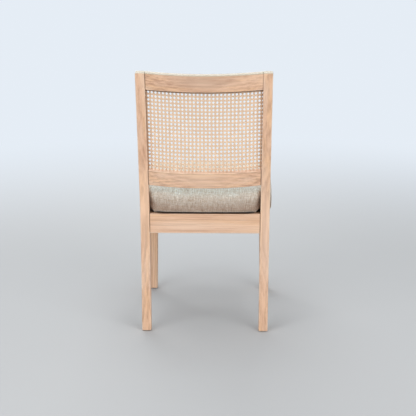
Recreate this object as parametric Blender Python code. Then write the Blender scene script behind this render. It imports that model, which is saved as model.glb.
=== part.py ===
"""Cane back dining chair.

A washed wood frame: two rear legs that run on up as raked back posts, two front legs, four seat rails
and two rails of the back that bow to the rear, all joined by mortise and tenon. A woven cane panel lies
in a rebate round the opening of the back and is held there by four beads. The upholstered seat is a
plywood board with foam and a fabric cover, screwed down from corner blocks. Each foot has a glide.

Metres, +Z up. The origin is on the floor under the middle of the chair, +X is the sitter's left, and
the chair faces -Y.
"""

import math

import bmesh
import bpy
from mathutils import Matrix, Vector

# The whole chair
DEPTH = 0.563
JOINT_GAP = 0.0003  # a glue line, or the gap between pieces that only touch
OVERRUN = 0.012  # how far a cutter runs out past what it cuts
LEFT, RIGHT = 1, -1
REAR, FRONT = 1, -1

# Rear legs, each one piece from the floor to the top of the back
REAR_SPREAD_FLOOR = 0.417  # outside to outside
REAR_SPREAD_TOP = 0.432
POST_WIDTH = 0.030
POST_EDGE = 0.003
FOOT_DEPTH = 0.030
FOOT_SETBACK = 0.030  # how far the foot's back face stands behind the block's
KNEE_DROP = 0.111  # below the top of the seat rails
KNEE_EASE = 0.035
BLOCK_DEPTH = 0.042  # the thick stretch that the seat rails enter
BLOCK_RISE = 0.032  # its top, above the seat rails
RAKE_RISE = 0.044  # the start of the rake, above the seat rails
RAKE = math.radians(9)
BACK_RISE = 0.429  # the top of the back, above the start of the rake
BEND_EASE = 0.028
POST_THINNED_AT = 0.055  # along the rake, from its start
POST_DEPTH_LOW = 0.030
POST_DEPTH_TOP = 0.028

# Front legs
FRONT_SPREAD = 0.441
FRONT_BLOCK = 0.036
FRONT_FOOT = 0.031
FRONT_EDGE = 0.003
FRONT_TAPER_DROP = 0.074  # below the top of the seat rails
SEAT_OVERHANG = 0.008  # the cushion's front, in front of the legs

# Seat rails
SEAT_RAIL_TOP = 0.396
SEAT_RAIL_HEIGHT = 0.0664
SEAT_RAIL_THICKNESS = 0.022
RAIL_RECESS = 0.002  # rails lie this far inside the faces of the legs
RAIL_EDGE = 0.0025

# Tenons on every rail
TENON_THICKNESS = 0.009
TENON_LENGTH = 0.016
TENON_SHOULDER = 0.010
TENON_EDGE = 0.004

# Bowed rails of the back, with their places along the rake
BACK_RAIL_THICKNESS = 0.022
BACK_BOW = 0.032
LOWER_RAIL_START = 0.054
LOWER_RAIL_HEIGHT = 0.052
CREST_HEIGHT = 0.055

# Rebate, cane and beads
REBATE_DEPTH = 0.0062
REBATE_WIDTH = 0.0085
CANE_THICKNESS = 0.002
CANE_TUCK = 0.0075
CANE_COLUMNS = 20
CANE_ROWS = 14
CANE_HOLE_SHARE = 0.6  # of the pitch of the weave
BEAD_THICKNESS = 0.0033
BEAD_EDGE = 0.0008

# Seat cushion in plan, half of a shape that is alike on both sides
SEAT_FRONT_OVERHANG = 0.004  # past the sides of the front legs
SEAT_FRONT_BOW = 0.004
SEAT_FRONT_CORNER = 0.040
SEAT_WIDEST_OVERHANG = 0.0057
SEAT_WIDEST_PLACE = 0.128  # in front of the block
SEAT_SIDE_SWEEP = 1.2
SEAT_REAR_OVERHANG = 0.0096  # past the sides of the rear legs
SEAT_REAR_CORNER = 0.014
SEAT_BACK_CORNER = 0.034
SEAT_BACK_BOW = 0.004
NOTCH_CLEARANCE = 0.0032  # round the rear legs
NOTCH_CORNER = 0.007
LEAST_CORNER = 0.004

# Seat cushion in height, above the seat rails
CUSHION_WIDEST = 0.044
CUSHION_SHOULDER = 0.078
CUSHION_CROWN = 0.012
CUSHION_DRAW_IN = 0.012
SHOULDER_INSET = 0.020
FOLD_INSET = 0.020
COVER_THICKNESS = 0.002
BOARD_THICKNESS = 0.012
BOARD_INSET = 0.0128
DUST_COVER_THICKNESS = 0.001
DUST_COVER_INSET = 0.010

# Corner blocks
BLOCK_REACH = 0.056
BLOCK_WING = 0.010
CORNER_BLOCK_HEIGHT = 0.042
CORNER_BLOCK_DROP = 0.004  # its top, below the top of the rails

# Screws
SHANK_RADIUS = 0.002
HEAD_RADIUS = 0.004
HEAD_HEIGHT = 0.0028
HEAD_EDGE = 0.0008
POINT_LENGTH = 0.003
POINT_RADIUS = 0.0004
COUNTERBORE_RADIUS = 0.0048
FRAME_SCREW_LENGTH = 0.027
FRAME_SCREW_INSET = 0.030  # from the face of the leg
FRAME_SCREW_SEAT = 0.014  # from the head to the face of the rail
FRAME_SCREW_STAGGER = 0.009
SEAT_SCREW_INSET = 0.0184
SEAT_SCREW_SEAT = 0.015  # from the bottom of the block to the head
SEAT_SCREW_BITE = 0.009  # in the board

# Foot glides
GLIDE_RADIUS = 0.0095
GLIDE_THICKNESS = 0.0022
GLIDE_EDGE = 0.0008
PIN_RADIUS = 0.0015
PIN_LENGTH = 0.012

# Counts of facets
EDGE_STEPS = 2
EASE_STEPS = 4
ARC_SECTIONS = 16
TURNED_STEPS = 16
WELD_SHARE = 0.01  # of the joint gap, for points that meet on an axis
LOWER_STEPS = 2
UPPER_STEPS = 4
CROWN_SHARES = (0.82, 0.58, 0.3)  # of the shoulder's outline
ANGLE_PASSES = 5
SHARP_ANGLE = math.radians(35)

# Linear colour, roughness and metallic value of each finish
FINISHES = {
    "washed_wood": ((0.72, 0.48, 0.32), 0.55, 0.0),
    "woven_cane": ((0.74, 0.55, 0.37), 0.6, 0.0),
    "tweed": ((0.42, 0.38, 0.33), 0.95, 0.0),
    "foam": ((0.85, 0.80, 0.62), 0.95, 0.0),
    "plywood": ((0.62, 0.45, 0.27), 0.7, 0.0),
    "black_cloth": ((0.02, 0.02, 0.02), 0.9, 0.0),
    "zinc_plate": ((0.75, 0.74, 0.70), 0.35, 1.0),
    "nylon": ((0.55, 0.52, 0.47), 0.5, 0.0),
}


def clear_scene():
    for obj in list(bpy.data.objects):
        bpy.data.objects.remove(obj)


def add_material(obj, finish):
    colour, roughness, metallic = FINISHES[finish]
    material = bpy.data.materials.new(obj.name + "_" + finish)
    material.use_nodes = True
    shader = material.node_tree.nodes["Principled BSDF"]
    shader.inputs["Base Color"].default_value = (*colour, 1)
    shader.inputs["Roughness"].default_value = roughness
    shader.inputs["Metallic"].default_value = metallic
    obj.data.materials.append(material)


def mesh_of(name, bm):
    """Turns a bmesh of closed bodies into a mesh, with its faces out and its edges sharp where they turn."""
    bmesh.ops.recalc_face_normals(bm, faces=bm.faces[:])
    mesh = bpy.data.meshes.new(name)
    bm.to_mesh(mesh)
    bm.free()
    mesh.shade_smooth()
    mesh.set_sharp_from_angle(angle=SHARP_ANGLE)
    return mesh


def add_piece(name, bm, finish):
    obj = bpy.data.objects.new(name, mesh_of(name, bm))
    bpy.context.scene.collection.objects.link(obj)
    add_material(obj, finish)
    return obj


def add_cutter(name, mesh, targets, place=Matrix()):
    """A hidden body that is taken out of each target."""
    obj = bpy.data.objects.new(name, mesh)
    bpy.context.scene.collection.objects.link(obj)
    obj.matrix_world = place
    obj.hide_render = True
    obj.display_type = "WIRE"
    for target in targets:
        boolean = target.modifiers.new(name, "BOOLEAN")
        boolean.operation = "DIFFERENCE"
        boolean.solver = "EXACT"
        boolean.object = obj


def loft(bm, rings):
    """Joins rings of equally many points in their order, and closes the two ends."""
    loops = [[bm.verts.new(point) for point in ring] for ring in rings]
    count = len(loops[0])
    for near, far in zip(loops, loops[1:]):
        for i in range(count):
            j = (i + 1) % count
            bm.faces.new((near[i], near[j], far[j], far[i]))
    bm.faces.new(loops[0])
    bm.faces.new(loops[-1])


def turned_mesh(name, profile):
    """Spins a profile of (radius, height) points about Z. It starts and ends on the axis."""
    bm = bmesh.new()
    line = [bm.verts.new((radius, 0, height)) for radius, height in profile]
    edges = [bm.edges.new(pair) for pair in zip(line, line[1:])]
    bmesh.ops.spin(
        bm,
        geom=line + edges,
        cent=(0, 0, 0),
        axis=(0, 0, 1),
        angle=math.tau,
        steps=TURNED_STEPS,
        use_merge=True,
    )
    bmesh.ops.remove_doubles(bm, verts=bm.verts[:], dist=JOINT_GAP * WELD_SHARE)
    return mesh_of(name, bm)


def arc(centre, radius, start, turn, steps=EDGE_STEPS):
    angles = [start + turn * i / steps for i in range(steps + 1)]
    return [
        (centre[0] + radius * math.cos(a), centre[1] + radius * math.sin(a))
        for a in angles
    ]


def rounded_rectangle(low, high, radius, steps=EDGE_STEPS):
    """Counter-clockwise from the corner at low, with the same count of points at each corner."""
    centres = (
        (low[0] + radius, low[1] + radius),
        (high[0] - radius, low[1] + radius),
        (high[0] - radius, high[1] - radius),
        (low[0] + radius, high[1] - radius),
    )
    quarter = math.pi / 2
    points = []
    for i, centre in enumerate(centres):
        points += arc(centre, radius, math.pi + quarter * i, quarter, steps)
    return points


def tenon_outline(middle, low, high, grow=0.0):
    """The outline of a tenon between the edges low and high of its rail, or of its mortise if grown."""
    half = TENON_THICKNESS / 2 + grow
    shoulder = TENON_SHOULDER - grow
    return rounded_rectangle(
        (middle - half, low + shoulder), (middle + half, high - shoulder), TENON_EDGE
    )


# Heights that follow the seat
RAKE_START = SEAT_RAIL_TOP + RAKE_RISE
HEIGHT = RAKE_START + BACK_RISE
BLOCK_TOP = SEAT_RAIL_TOP + BLOCK_RISE
KNEE_HEIGHT = SEAT_RAIL_TOP - KNEE_DROP
FRONT_TAPER_TOP = SEAT_RAIL_TOP - FRONT_TAPER_DROP

# The frame of the back: along runs up the posts from the start of the rake, behind is square to them
POST_TOP = (
    HEIGHT - RAKE_START - (POST_DEPTH_TOP - POST_EDGE) * math.sin(RAKE)
) / math.cos(RAKE)
CREST_LOW = POST_TOP - CREST_HEIGHT
LOWER_RAIL_TOP = LOWER_RAIL_START + LOWER_RAIL_HEIGHT
SPLAY = (REAR_SPREAD_TOP - REAR_SPREAD_FLOOR) / 2 / HEIGHT


def outer_face(height):
    """X of the outer face of a rear leg, which is a leaning plane."""
    return REAR_SPREAD_FLOOR / 2 + SPLAY * height


def inner_face(height):
    return outer_face(height) - POST_WIDTH


# The bow is an arc about an upright of the raked frame, through the middle of the rails
ARC_HALF_SPAN = inner_face(HEIGHT - CREST_HEIGHT / 2)
ARC_RADIUS = (ARC_HALF_SPAN**2 + BACK_BOW**2) / (2 * BACK_BOW)
ARC_CENTRE = -RAIL_RECESS - math.sqrt(
    (ARC_RADIUS + BACK_RAIL_THICKNESS / 2) ** 2 - ARC_HALF_SPAN**2
)
BACK_TENON_MIDDLE = ARC_CENTRE + math.sqrt(ARC_RADIUS**2 - ARC_HALF_SPAN**2)
BOW_BACK = ARC_CENTRE + ARC_RADIUS + BACK_RAIL_THICKNESS / 2

# Places from front to back: the crest's bow and the cushion's front set the depth of the chair
BLOCK_BACK = (
    DEPTH / 2 - (POST_TOP - RAIL_EDGE) * math.sin(RAKE) - BOW_BACK * math.cos(RAKE)
)
BLOCK_FRONT = BLOCK_BACK - BLOCK_DEPTH
FRONT_LEG_FACE = -DEPTH / 2 + SEAT_OVERHANG
FRONT_LEG_BACK = FRONT_LEG_FACE + FRONT_BLOCK
FRONT_INNER_FACE = FRONT_SPREAD / 2 - FRONT_BLOCK
LEG_BOTTOM = GLIDE_THICKNESS + JOINT_GAP

# Distances from the middle of the bowed rails, to the rear
REBATE_FLOOR = -BACK_RAIL_THICKNESS / 2 + REBATE_DEPTH
CANE_BACK = REBATE_FLOOR - JOINT_GAP
CANE_FRONT = CANE_BACK - CANE_THICKNESS
BEAD_BACK = CANE_FRONT - JOINT_GAP
BEAD_FRONT = BEAD_BACK - BEAD_THICKNESS


def back_point(x, along, behind):
    return Vector(
        (
            x,
            BLOCK_BACK + along * math.sin(RAKE) + behind * math.cos(RAKE),
            RAKE_START + along * math.cos(RAKE) - behind * math.sin(RAKE),
        )
    )


def angle_at_post(radius, along, beyond=0.0):
    """The angle of the arc where it has gone beyond the inner face of a post by so much."""
    angle = 0.0
    for _ in range(ANGLE_PASSES):
        behind = ARC_CENTRE + radius * math.cos(angle)
        height = back_point(0, along, behind).z
        angle = math.asin((inner_face(height) + beyond) / radius)
    return angle


def bow_point(behind_middle, along, angle):
    radius = ARC_RADIUS + behind_middle
    behind = ARC_CENTRE + radius * math.cos(angle)
    return back_point(radius * math.sin(angle), along, behind)


def post_face_point(side, behind, along, beyond):
    """A point of the raked frame that lies beyond the inner face of a post by so much."""
    height = back_point(0, along, behind).z
    return back_point(side * (inner_face(height) + beyond), along, behind)


# Rear legs


def eased(points, reaches):
    """Rounds each inner corner of a line, starting the given reach before it and ending as far past it."""
    line = [points[0]]
    for before, corner, after, reach in zip(points, points[1:], points[2:], reaches):
        start = corner + (before - corner).normalized() * reach
        end = corner + (after - corner).normalized() * reach
        for i in range(EASE_STEPS + 1):
            share = i / EASE_STEPS
            line.append(start.lerp(corner, share).lerp(corner.lerp(end, share), share))
    line.append(points[-1])
    return line


def rear_leg_ring(side, back, front, inset):
    """A rounded section between a point of the back line and one of the front line."""
    depth = (front - back).length
    outline = rounded_rectangle(
        (inset, inset), (POST_WIDTH - inset, depth - inset), POST_EDGE
    )
    ring = []
    for across, forward in outline:
        place = back.lerp(front, forward / depth)
        ring.append((side * (outer_face(place.y) - across), place.x, place.y))
    return ring


def rear_leg_lines():
    """The back and front outlines of a leg seen from the side, as (y, z) points of equal count."""

    def raked(along, behind):
        point = back_point(0, along, behind)
        return Vector((point.y, point.z))

    reaches = (KNEE_EASE, BEND_EASE, BEND_EASE)
    back = [
        Vector((BLOCK_BACK + FOOT_SETBACK, 0)),
        Vector((BLOCK_BACK, KNEE_HEIGHT)),
        Vector((BLOCK_BACK, RAKE_START)),
        raked(POST_THINNED_AT, 0),
        raked(POST_TOP, 0),
    ]
    front = [
        Vector((BLOCK_BACK + FOOT_SETBACK - FOOT_DEPTH, 0)),
        Vector((BLOCK_FRONT, KNEE_HEIGHT)),
        Vector((BLOCK_FRONT, BLOCK_TOP)),
        raked(POST_THINNED_AT, -POST_DEPTH_LOW),
        raked(POST_TOP, -POST_DEPTH_TOP),
    ]
    for line in (back, front):
        line[0] = line[0].lerp(line[1], LEG_BOTTOM / KNEE_HEIGHT)
    return eased(back, reaches), eased(front, reaches)


def soften(end, inner, edge):
    """Moves the end of a line in by the edge, towards the next point."""
    return end + (inner - end).normalized() * edge


def rear_leg(side):
    back, front = rear_leg_lines()
    rings = [rear_leg_ring(side, back[0], front[0], POST_EDGE / 2)]
    pairs = list(zip(back, front))
    pairs[0] = tuple(soften(line[0], line[1], POST_EDGE / 2) for line in (back, front))
    pairs[-1] = tuple(soften(line[-1], line[-2], POST_EDGE) for line in (back, front))
    rings += [rear_leg_ring(side, *pair, 0.0) for pair in pairs]
    half_edge = POST_EDGE * (1 - math.cos(math.pi / 4))
    half_way = [soften(line[-1], line[-2], half_edge) for line in (back, front)]
    rings.append(rear_leg_ring(side, *half_way, half_edge))
    rings.append(rear_leg_ring(side, back[-1], front[-1], POST_EDGE))
    bm = bmesh.new()
    loft(bm, rings)
    return bm


def back_mortise(bm, side, low, high):
    outline = tenon_outline(BACK_TENON_MIDDLE, low, high, JOINT_GAP)
    rings = [
        [post_face_point(side, behind, along, beyond) for behind, along in outline]
        for beyond in (-OVERRUN, TENON_LENGTH + JOINT_GAP)
    ]
    loft(bm, rings)


def side_rebate(bm, side):
    """The rebate down the front inner corner of a post, whose floor follows the bow of the rails."""
    rings = []
    for along in (LOWER_RAIL_TOP - REBATE_WIDTH, CREST_LOW + REBATE_WIDTH):
        floor = []
        for beyond in (-OVERRUN, REBATE_WIDTH):
            angle = angle_at_post(ARC_RADIUS + REBATE_FLOOR, along, beyond)
            floor.append(bow_point(REBATE_FLOOR, along, side * angle))
        ahead = -POST_DEPTH_LOW - OVERRUN
        mouth = [back_point(point.x, along, ahead) for point in reversed(floor)]
        rings.append(floor + mouth)
    loft(bm, rings)


def rear_rail_mortise(bm, side):
    outline = tenon_outline(REAR_RAIL_MIDDLE, *SEAT_RAIL_EDGES, JOINT_GAP)
    rings = [
        [(side * (inner_face(z) + beyond), y, z) for y, z in outline]
        for beyond in (-OVERRUN, TENON_LENGTH + JOINT_GAP)
    ]
    loft(bm, rings)


def front_rail_mortise(bm, side):
    outline = tenon_outline(FRONT_RAIL_MIDDLE, *SEAT_RAIL_EDGES, JOINT_GAP)
    rings = [
        [(side * (FRONT_INNER_FACE + beyond), y, z) for y, z in outline]
        for beyond in (-OVERRUN, TENON_LENGTH + JOINT_GAP)
    ]
    loft(bm, rings)


def side_rail_mortise(bm, side, end):
    face = SIDE_RAIL_ENDS[end]
    outline = tenon_outline(0, *SEAT_RAIL_EDGES, JOINT_GAP)
    rings = []
    for beyond in (-OVERRUN, TENON_LENGTH + JOINT_GAP):
        y = face + end * beyond
        rings.append([(side * (side_rail_middle(y) + x), y, z) for x, z in outline])
    loft(bm, rings)


def add_legs():
    """The four legs with their mortises, rebates and pin holes, as a dictionary of objects."""
    legs = {}
    for side, hand in ((LEFT, "left"), (RIGHT, "right")):
        rear = add_piece("rear_leg_" + hand, rear_leg(side), "washed_wood")
        bm = bmesh.new()
        back_mortise(bm, side, CREST_LOW, POST_TOP)
        back_mortise(bm, side, LOWER_RAIL_START, LOWER_RAIL_TOP)
        rear_rail_mortise(bm, side)
        side_rail_mortise(bm, side, REAR)
        side_rebate(bm, side)
        add_cutter("rear_leg_cuts_" + hand, mesh_of("rear_leg_cuts", bm), [rear])
        front = add_piece("front_leg_" + hand, front_leg(side), "washed_wood")
        bm = bmesh.new()
        front_rail_mortise(bm, side)
        side_rail_mortise(bm, side, FRONT)
        add_cutter("front_leg_cuts_" + hand, mesh_of("front_leg_cuts", bm), [front])
        legs[side, REAR] = rear
        legs[side, FRONT] = front
    return legs


# Front legs


def front_leg(side):
    """A square leg, tapered on its two inner faces below the rails."""
    sections = (
        (LEG_BOTTOM, FRONT_FOOT, FRONT_EDGE / 2),
        (LEG_BOTTOM + FRONT_EDGE / 2, FRONT_FOOT, 0.0),
        (FRONT_TAPER_TOP, FRONT_BLOCK, 0.0),
        (SEAT_RAIL_TOP - FRONT_EDGE / 2, FRONT_BLOCK, 0.0),
        (SEAT_RAIL_TOP, FRONT_BLOCK, FRONT_EDGE / 2),
    )
    outer = FRONT_SPREAD / 2
    rings = []
    for z, width, inset in sections:
        low = (outer - width + inset, FRONT_LEG_FACE + inset)
        high = (outer - inset, FRONT_LEG_FACE + width - inset)
        outline = rounded_rectangle(low, high, FRONT_EDGE)
        rings.append([(side * x, y, z) for x, y in outline])
    bm = bmesh.new()
    loft(bm, rings)
    return bm


# Seat rails
SEAT_RAIL_EDGES = (SEAT_RAIL_TOP - SEAT_RAIL_HEIGHT, SEAT_RAIL_TOP)
REAR_RAIL_MIDDLE = BLOCK_BACK - RAIL_RECESS - SEAT_RAIL_THICKNESS / 2
FRONT_RAIL_MIDDLE = FRONT_LEG_FACE + RAIL_RECESS + SEAT_RAIL_THICKNESS / 2
SIDE_RAIL_ENDS = {REAR: BLOCK_FRONT, FRONT: FRONT_LEG_BACK}


def side_rail_middle(y):
    """X of the middle of a side rail, which runs in a little towards the back."""
    inset = RAIL_RECESS + SEAT_RAIL_THICKNESS / 2
    rear = outer_face(sum(SEAT_RAIL_EDGES) / 2) - inset
    front = FRONT_SPREAD / 2 - inset
    share = (y - FRONT_LEG_BACK) / (BLOCK_FRONT - FRONT_LEG_BACK)
    return front + (rear - front) * share


def rail_outline(middle):
    half = SEAT_RAIL_THICKNESS / 2
    low, high = SEAT_RAIL_EDGES
    return rounded_rectangle((middle - half, low), (middle + half, high), RAIL_EDGE)


def cross_rail(middle, face):
    """A rail from leg to leg. face gives the X of the legs' inner faces at a height."""
    body = rail_outline(middle)
    tenon = tenon_outline(middle, *SEAT_RAIL_EDGES)
    ends = ((tenon, TENON_LENGTH), (tenon, -JOINT_GAP), (body, -JOINT_GAP))
    rings = []
    for outline, beyond in ends:
        rings.append([(RIGHT * (face(z) + beyond), y, z) for y, z in outline])
    for outline, beyond in reversed(ends):
        rings.append([(LEFT * (face(z) + beyond), y, z) for y, z in outline])
    bm = bmesh.new()
    loft(bm, rings)
    return bm


def side_rail(side):
    body = rail_outline(0)
    tenon = tenon_outline(0, *SEAT_RAIL_EDGES)
    ends = ((tenon, TENON_LENGTH), (tenon, -JOINT_GAP), (body, -JOINT_GAP))
    rings = []
    for end, order in ((FRONT, ends), (REAR, reversed(ends))):
        for outline, beyond in order:
            y = SIDE_RAIL_ENDS[end] + end * beyond
            middle = side_rail_middle(y)
            rings.append([(side * (middle + x), y, z) for x, z in outline])
    bm = bmesh.new()
    loft(bm, rings)
    return bm


def add_seat_rails():
    rear = cross_rail(REAR_RAIL_MIDDLE, inner_face)
    front = cross_rail(FRONT_RAIL_MIDDLE, lambda height: FRONT_INNER_FACE)
    return {
        REAR: add_piece("rear_seat_rail", rear, "washed_wood"),
        FRONT: add_piece("front_seat_rail", front, "washed_wood"),
        "left": add_piece("side_seat_rail_left", side_rail(LEFT), "washed_wood"),
        "right": add_piece("side_seat_rail_right", side_rail(RIGHT), "washed_wood"),
    }


# Bowed rails of the back


def rebated_outline(low, high, rebate_at_top):
    """A rail's section with softened edges and, at its front, a rebate along the opening of the back."""
    half = BACK_RAIL_THICKNESS / 2
    points = rounded_rectangle((-half, low), (half, high), RAIL_EDGE)
    corner = EDGE_STEPS + 1
    edge = high if rebate_at_top else low
    shelf = edge - REBATE_WIDTH if rebate_at_top else edge + REBATE_WIDTH
    start, inner, end = (-half, shelf), (REBATE_FLOOR, shelf), (REBATE_FLOOR, edge)
    shares = [i / (EDGE_STEPS - 1) for i in range(EDGE_STEPS)]
    step = [(start[0] + (inner[0] - start[0]) * share, shelf) for share in shares]
    step.append(end)
    if rebate_at_top:
        return points[: 3 * corner] + step[::-1]
    return step + points[corner:]


def back_rail(low, high, rebate_at_top):
    body = rebated_outline(low, high, rebate_at_top)
    tenon = tenon_outline(BACK_TENON_MIDDLE, low, high)

    def tenon_rings(side):
        rings = []
        for beyond in (TENON_LENGTH, -JOINT_GAP):
            ring = [post_face_point(side, *point, beyond) for point in tenon]
            rings.append(ring)
        return rings

    rings = tenon_rings(RIGHT)
    for i in range(ARC_SECTIONS + 1):
        share = 2 * i / ARC_SECTIONS - 1
        ring = []
        for behind_middle, along in body:
            end = angle_at_post(ARC_RADIUS + behind_middle, along, -JOINT_GAP)
            ring.append(bow_point(behind_middle, along, share * end))
        rings.append(ring)
    rings += reversed(tenon_rings(LEFT))
    bm = bmesh.new()
    loft(bm, rings)
    return bm


def add_back_rails():
    crest = back_rail(CREST_LOW, POST_TOP, rebate_at_top=False)
    lower = back_rail(LOWER_RAIL_START, LOWER_RAIL_TOP, rebate_at_top=True)
    add_piece("crest_rail", crest, "washed_wood")
    add_piece("lower_back_rail", lower, "washed_wood")


# Woven cane and the beads that hold it


def add_cane():
    """A net of open cells on the bow, whose plain rim lies in the rebates."""
    middle = (CANE_BACK + CANE_FRONT) / 2
    radius = ARC_RADIUS + middle
    half_angle = angle_at_post(radius, LOWER_RAIL_TOP)

    def cell_edges(low, high, count):
        pitch = (high - low) / count
        margin = (1 - CANE_HOLE_SHARE) / 2
        edges = []
        for i in range(count):
            edges += [low + (i + margin) * pitch, low + (i + 1 - margin) * pitch]
        return edges

    rows = cell_edges(LOWER_RAIL_TOP, CREST_LOW, CANE_ROWS)
    rows = [LOWER_RAIL_TOP - CANE_TUCK, *rows, CREST_LOW + CANE_TUCK]
    bm = bmesh.new()
    grid = []
    for along in rows:
        rim = angle_at_post(radius, along, CANE_TUCK)
        columns = cell_edges(-half_angle, half_angle, CANE_COLUMNS)
        angles = [-rim, *columns, rim]
        grid.append([bm.verts.new(bow_point(middle, along, a)) for a in angles])
    for i, (low, high) in enumerate(zip(grid, grid[1:])):
        for j in range(len(low) - 1):
            is_hole = i % 2 == 1 and j % 2 == 1
            if not is_hole:
                bm.faces.new((low[j], low[j + 1], high[j + 1], high[j]))
    panel = add_piece("cane_panel", bm, "woven_cane")
    wall = panel.modifiers.new("cane_thickness", "SOLIDIFY")
    wall.thickness = CANE_THICKNESS
    wall.offset = 0
    wall.use_even_offset = True


def add_beads():
    """Strips that fill the rebates in front of the cane, along the two rails and down the two posts."""
    for name, low in (
        ("cane_bead_top", CREST_LOW),
        ("cane_bead_bottom", LOWER_RAIL_TOP - REBATE_WIDTH + JOINT_GAP),
    ):
        high = low + REBATE_WIDTH - JOINT_GAP
        outline = rounded_rectangle(
            (BEAD_FRONT, low), (BEAD_BACK, high), BEAD_EDGE, steps=1
        )
        rings = []
        for i in range(ARC_SECTIONS + 1):
            share = 2 * i / ARC_SECTIONS - 1
            ring = []
            for behind_middle, along in outline:
                end = angle_at_post(ARC_RADIUS + behind_middle, along, -JOINT_GAP)
                ring.append(bow_point(behind_middle, along, share * end))
            rings.append(ring)
        bm = bmesh.new()
        loft(bm, rings)
        add_piece(name, bm, "washed_wood")
    low_end = LOWER_RAIL_TOP - REBATE_WIDTH + JOINT_GAP
    high_end = CREST_LOW + REBATE_WIDTH - JOINT_GAP
    outline = rounded_rectangle(
        (BEAD_FRONT, 0), (BEAD_BACK, REBATE_WIDTH - JOINT_GAP), BEAD_EDGE, steps=1
    )
    for side, hand in ((LEFT, "left"), (RIGHT, "right")):
        rings = []
        for along in (low_end, high_end):
            ring = []
            for behind_middle, beyond in outline:
                end = angle_at_post(ARC_RADIUS + behind_middle, along, beyond)
                ring.append(bow_point(behind_middle, along, side * end))
            rings.append(ring)
        bm = bmesh.new()
        loft(bm, rings)
        add_piece("cane_bead_" + hand, bm, "washed_wood")


# Seat cushion
DUST_COVER_LOW = SEAT_RAIL_TOP + JOINT_GAP
FOLD_LOW = DUST_COVER_LOW + DUST_COVER_THICKNESS + JOINT_GAP
BOARD_LOW = FOLD_LOW + COVER_THICKNESS + JOINT_GAP
BOARD_HIGH = BOARD_LOW + BOARD_THICKNESS
FOAM_LOW = BOARD_HIGH + JOINT_GAP
WIDEST_HEIGHT = SEAT_RAIL_TOP + CUSHION_WIDEST
SHOULDER_HEIGHT = SEAT_RAIL_TOP + CUSHION_SHOULDER
LOWER_HEIGHT = WIDEST_HEIGHT - FOLD_LOW
UPPER_HEIGHT = SHOULDER_HEIGHT - WIDEST_HEIGHT


def seat_corners():
    """(x, y, radius, steps) of the corners of the cushion, counter-clockwise from the front."""
    notch_x = inner_face(SEAT_RAIL_TOP) - NOTCH_CLEARANCE
    notch_y = BLOCK_FRONT - NOTCH_CLEARANCE
    front = -DEPTH / 2
    front_x = FRONT_SPREAD / 2 + SEAT_FRONT_OVERHANG
    widest_x = FRONT_SPREAD / 2 + SEAT_WIDEST_OVERHANG
    rear_x = outer_face(SEAT_RAIL_TOP) + SEAT_REAR_OVERHANG
    half = [
        (front_x, front + SEAT_FRONT_BOW, SEAT_FRONT_CORNER, 5),
        (widest_x, BLOCK_FRONT - SEAT_WIDEST_PLACE, SEAT_SIDE_SWEEP, 2),
        (rear_x, notch_y, SEAT_REAR_CORNER, 3),
        (notch_x, notch_y, NOTCH_CORNER, 2),
        (notch_x, BLOCK_BACK - SEAT_BACK_BOW, SEAT_BACK_CORNER, 4),
    ]
    other_half = [(-x, y, radius, steps) for x, y, radius, steps in reversed(half)]
    front_middle = (0, front, SEAT_SIDE_SWEEP, 1)
    back_middle = (0, BLOCK_BACK, SEAT_SIDE_SWEEP, 1)
    return [front_middle, *half, back_middle, *other_half]


def inset_corners(corners, inset):
    """Moves each edge of the outline inwards. Round corners get smaller and hollow ones larger."""
    points = [Vector(corner[:2]) for corner in corners]
    moved = []
    for i, (corner, point) in enumerate(zip(corners, points)):
        into = (point - points[i - 1]).normalized()
        out = (points[(i + 1) % len(points)] - point).normalized()
        turn = into.x * out.y - into.y * out.x
        normal_in, normal_out = Vector((-into.y, into.x)), Vector((-out.y, out.x))
        shift = (normal_in + normal_out) * (inset / (1 + normal_in.dot(normal_out)))
        radius = corner[2] - inset if turn > 0 else corner[2] + inset
        moved.append((point + shift, into, out, turn, max(radius, LEAST_CORNER)))
    return moved


def seat_outline(inset):
    """Points of the cushion's outline drawn in by so much, always of the same count."""
    corners = seat_corners()
    moved = inset_corners(corners, inset)
    reaches = []
    for _, into, out, _, radius in moved:
        reaches.append(radius * math.tan(into.angle(out) / 2))
    count = len(moved)
    lengths = [(moved[(i + 1) % count][0] - moved[i][0]).length for i in range(count)]
    room = [
        min(1, length / (reaches[i] + reaches[(i + 1) % count]))
        for i, length in enumerate(lengths)
    ]
    outline = []
    for i, (point, into, out, turn, radius) in enumerate(moved):
        fit = min(room[i], room[i - 1])
        start = point - into * reaches[i] * fit
        bend = into.angle(out) * (1 if turn > 0 else -1)
        side = Vector((-into.y, into.x)) * (1 if turn > 0 else -1)
        centre = start + side * radius * fit
        steps = corners[i][3]
        for j in range(steps + 1):
            spoke = Matrix.Rotation(bend * j / steps, 2) @ (start - centre)
            outline.append(centre + spoke)
    return outline


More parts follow.
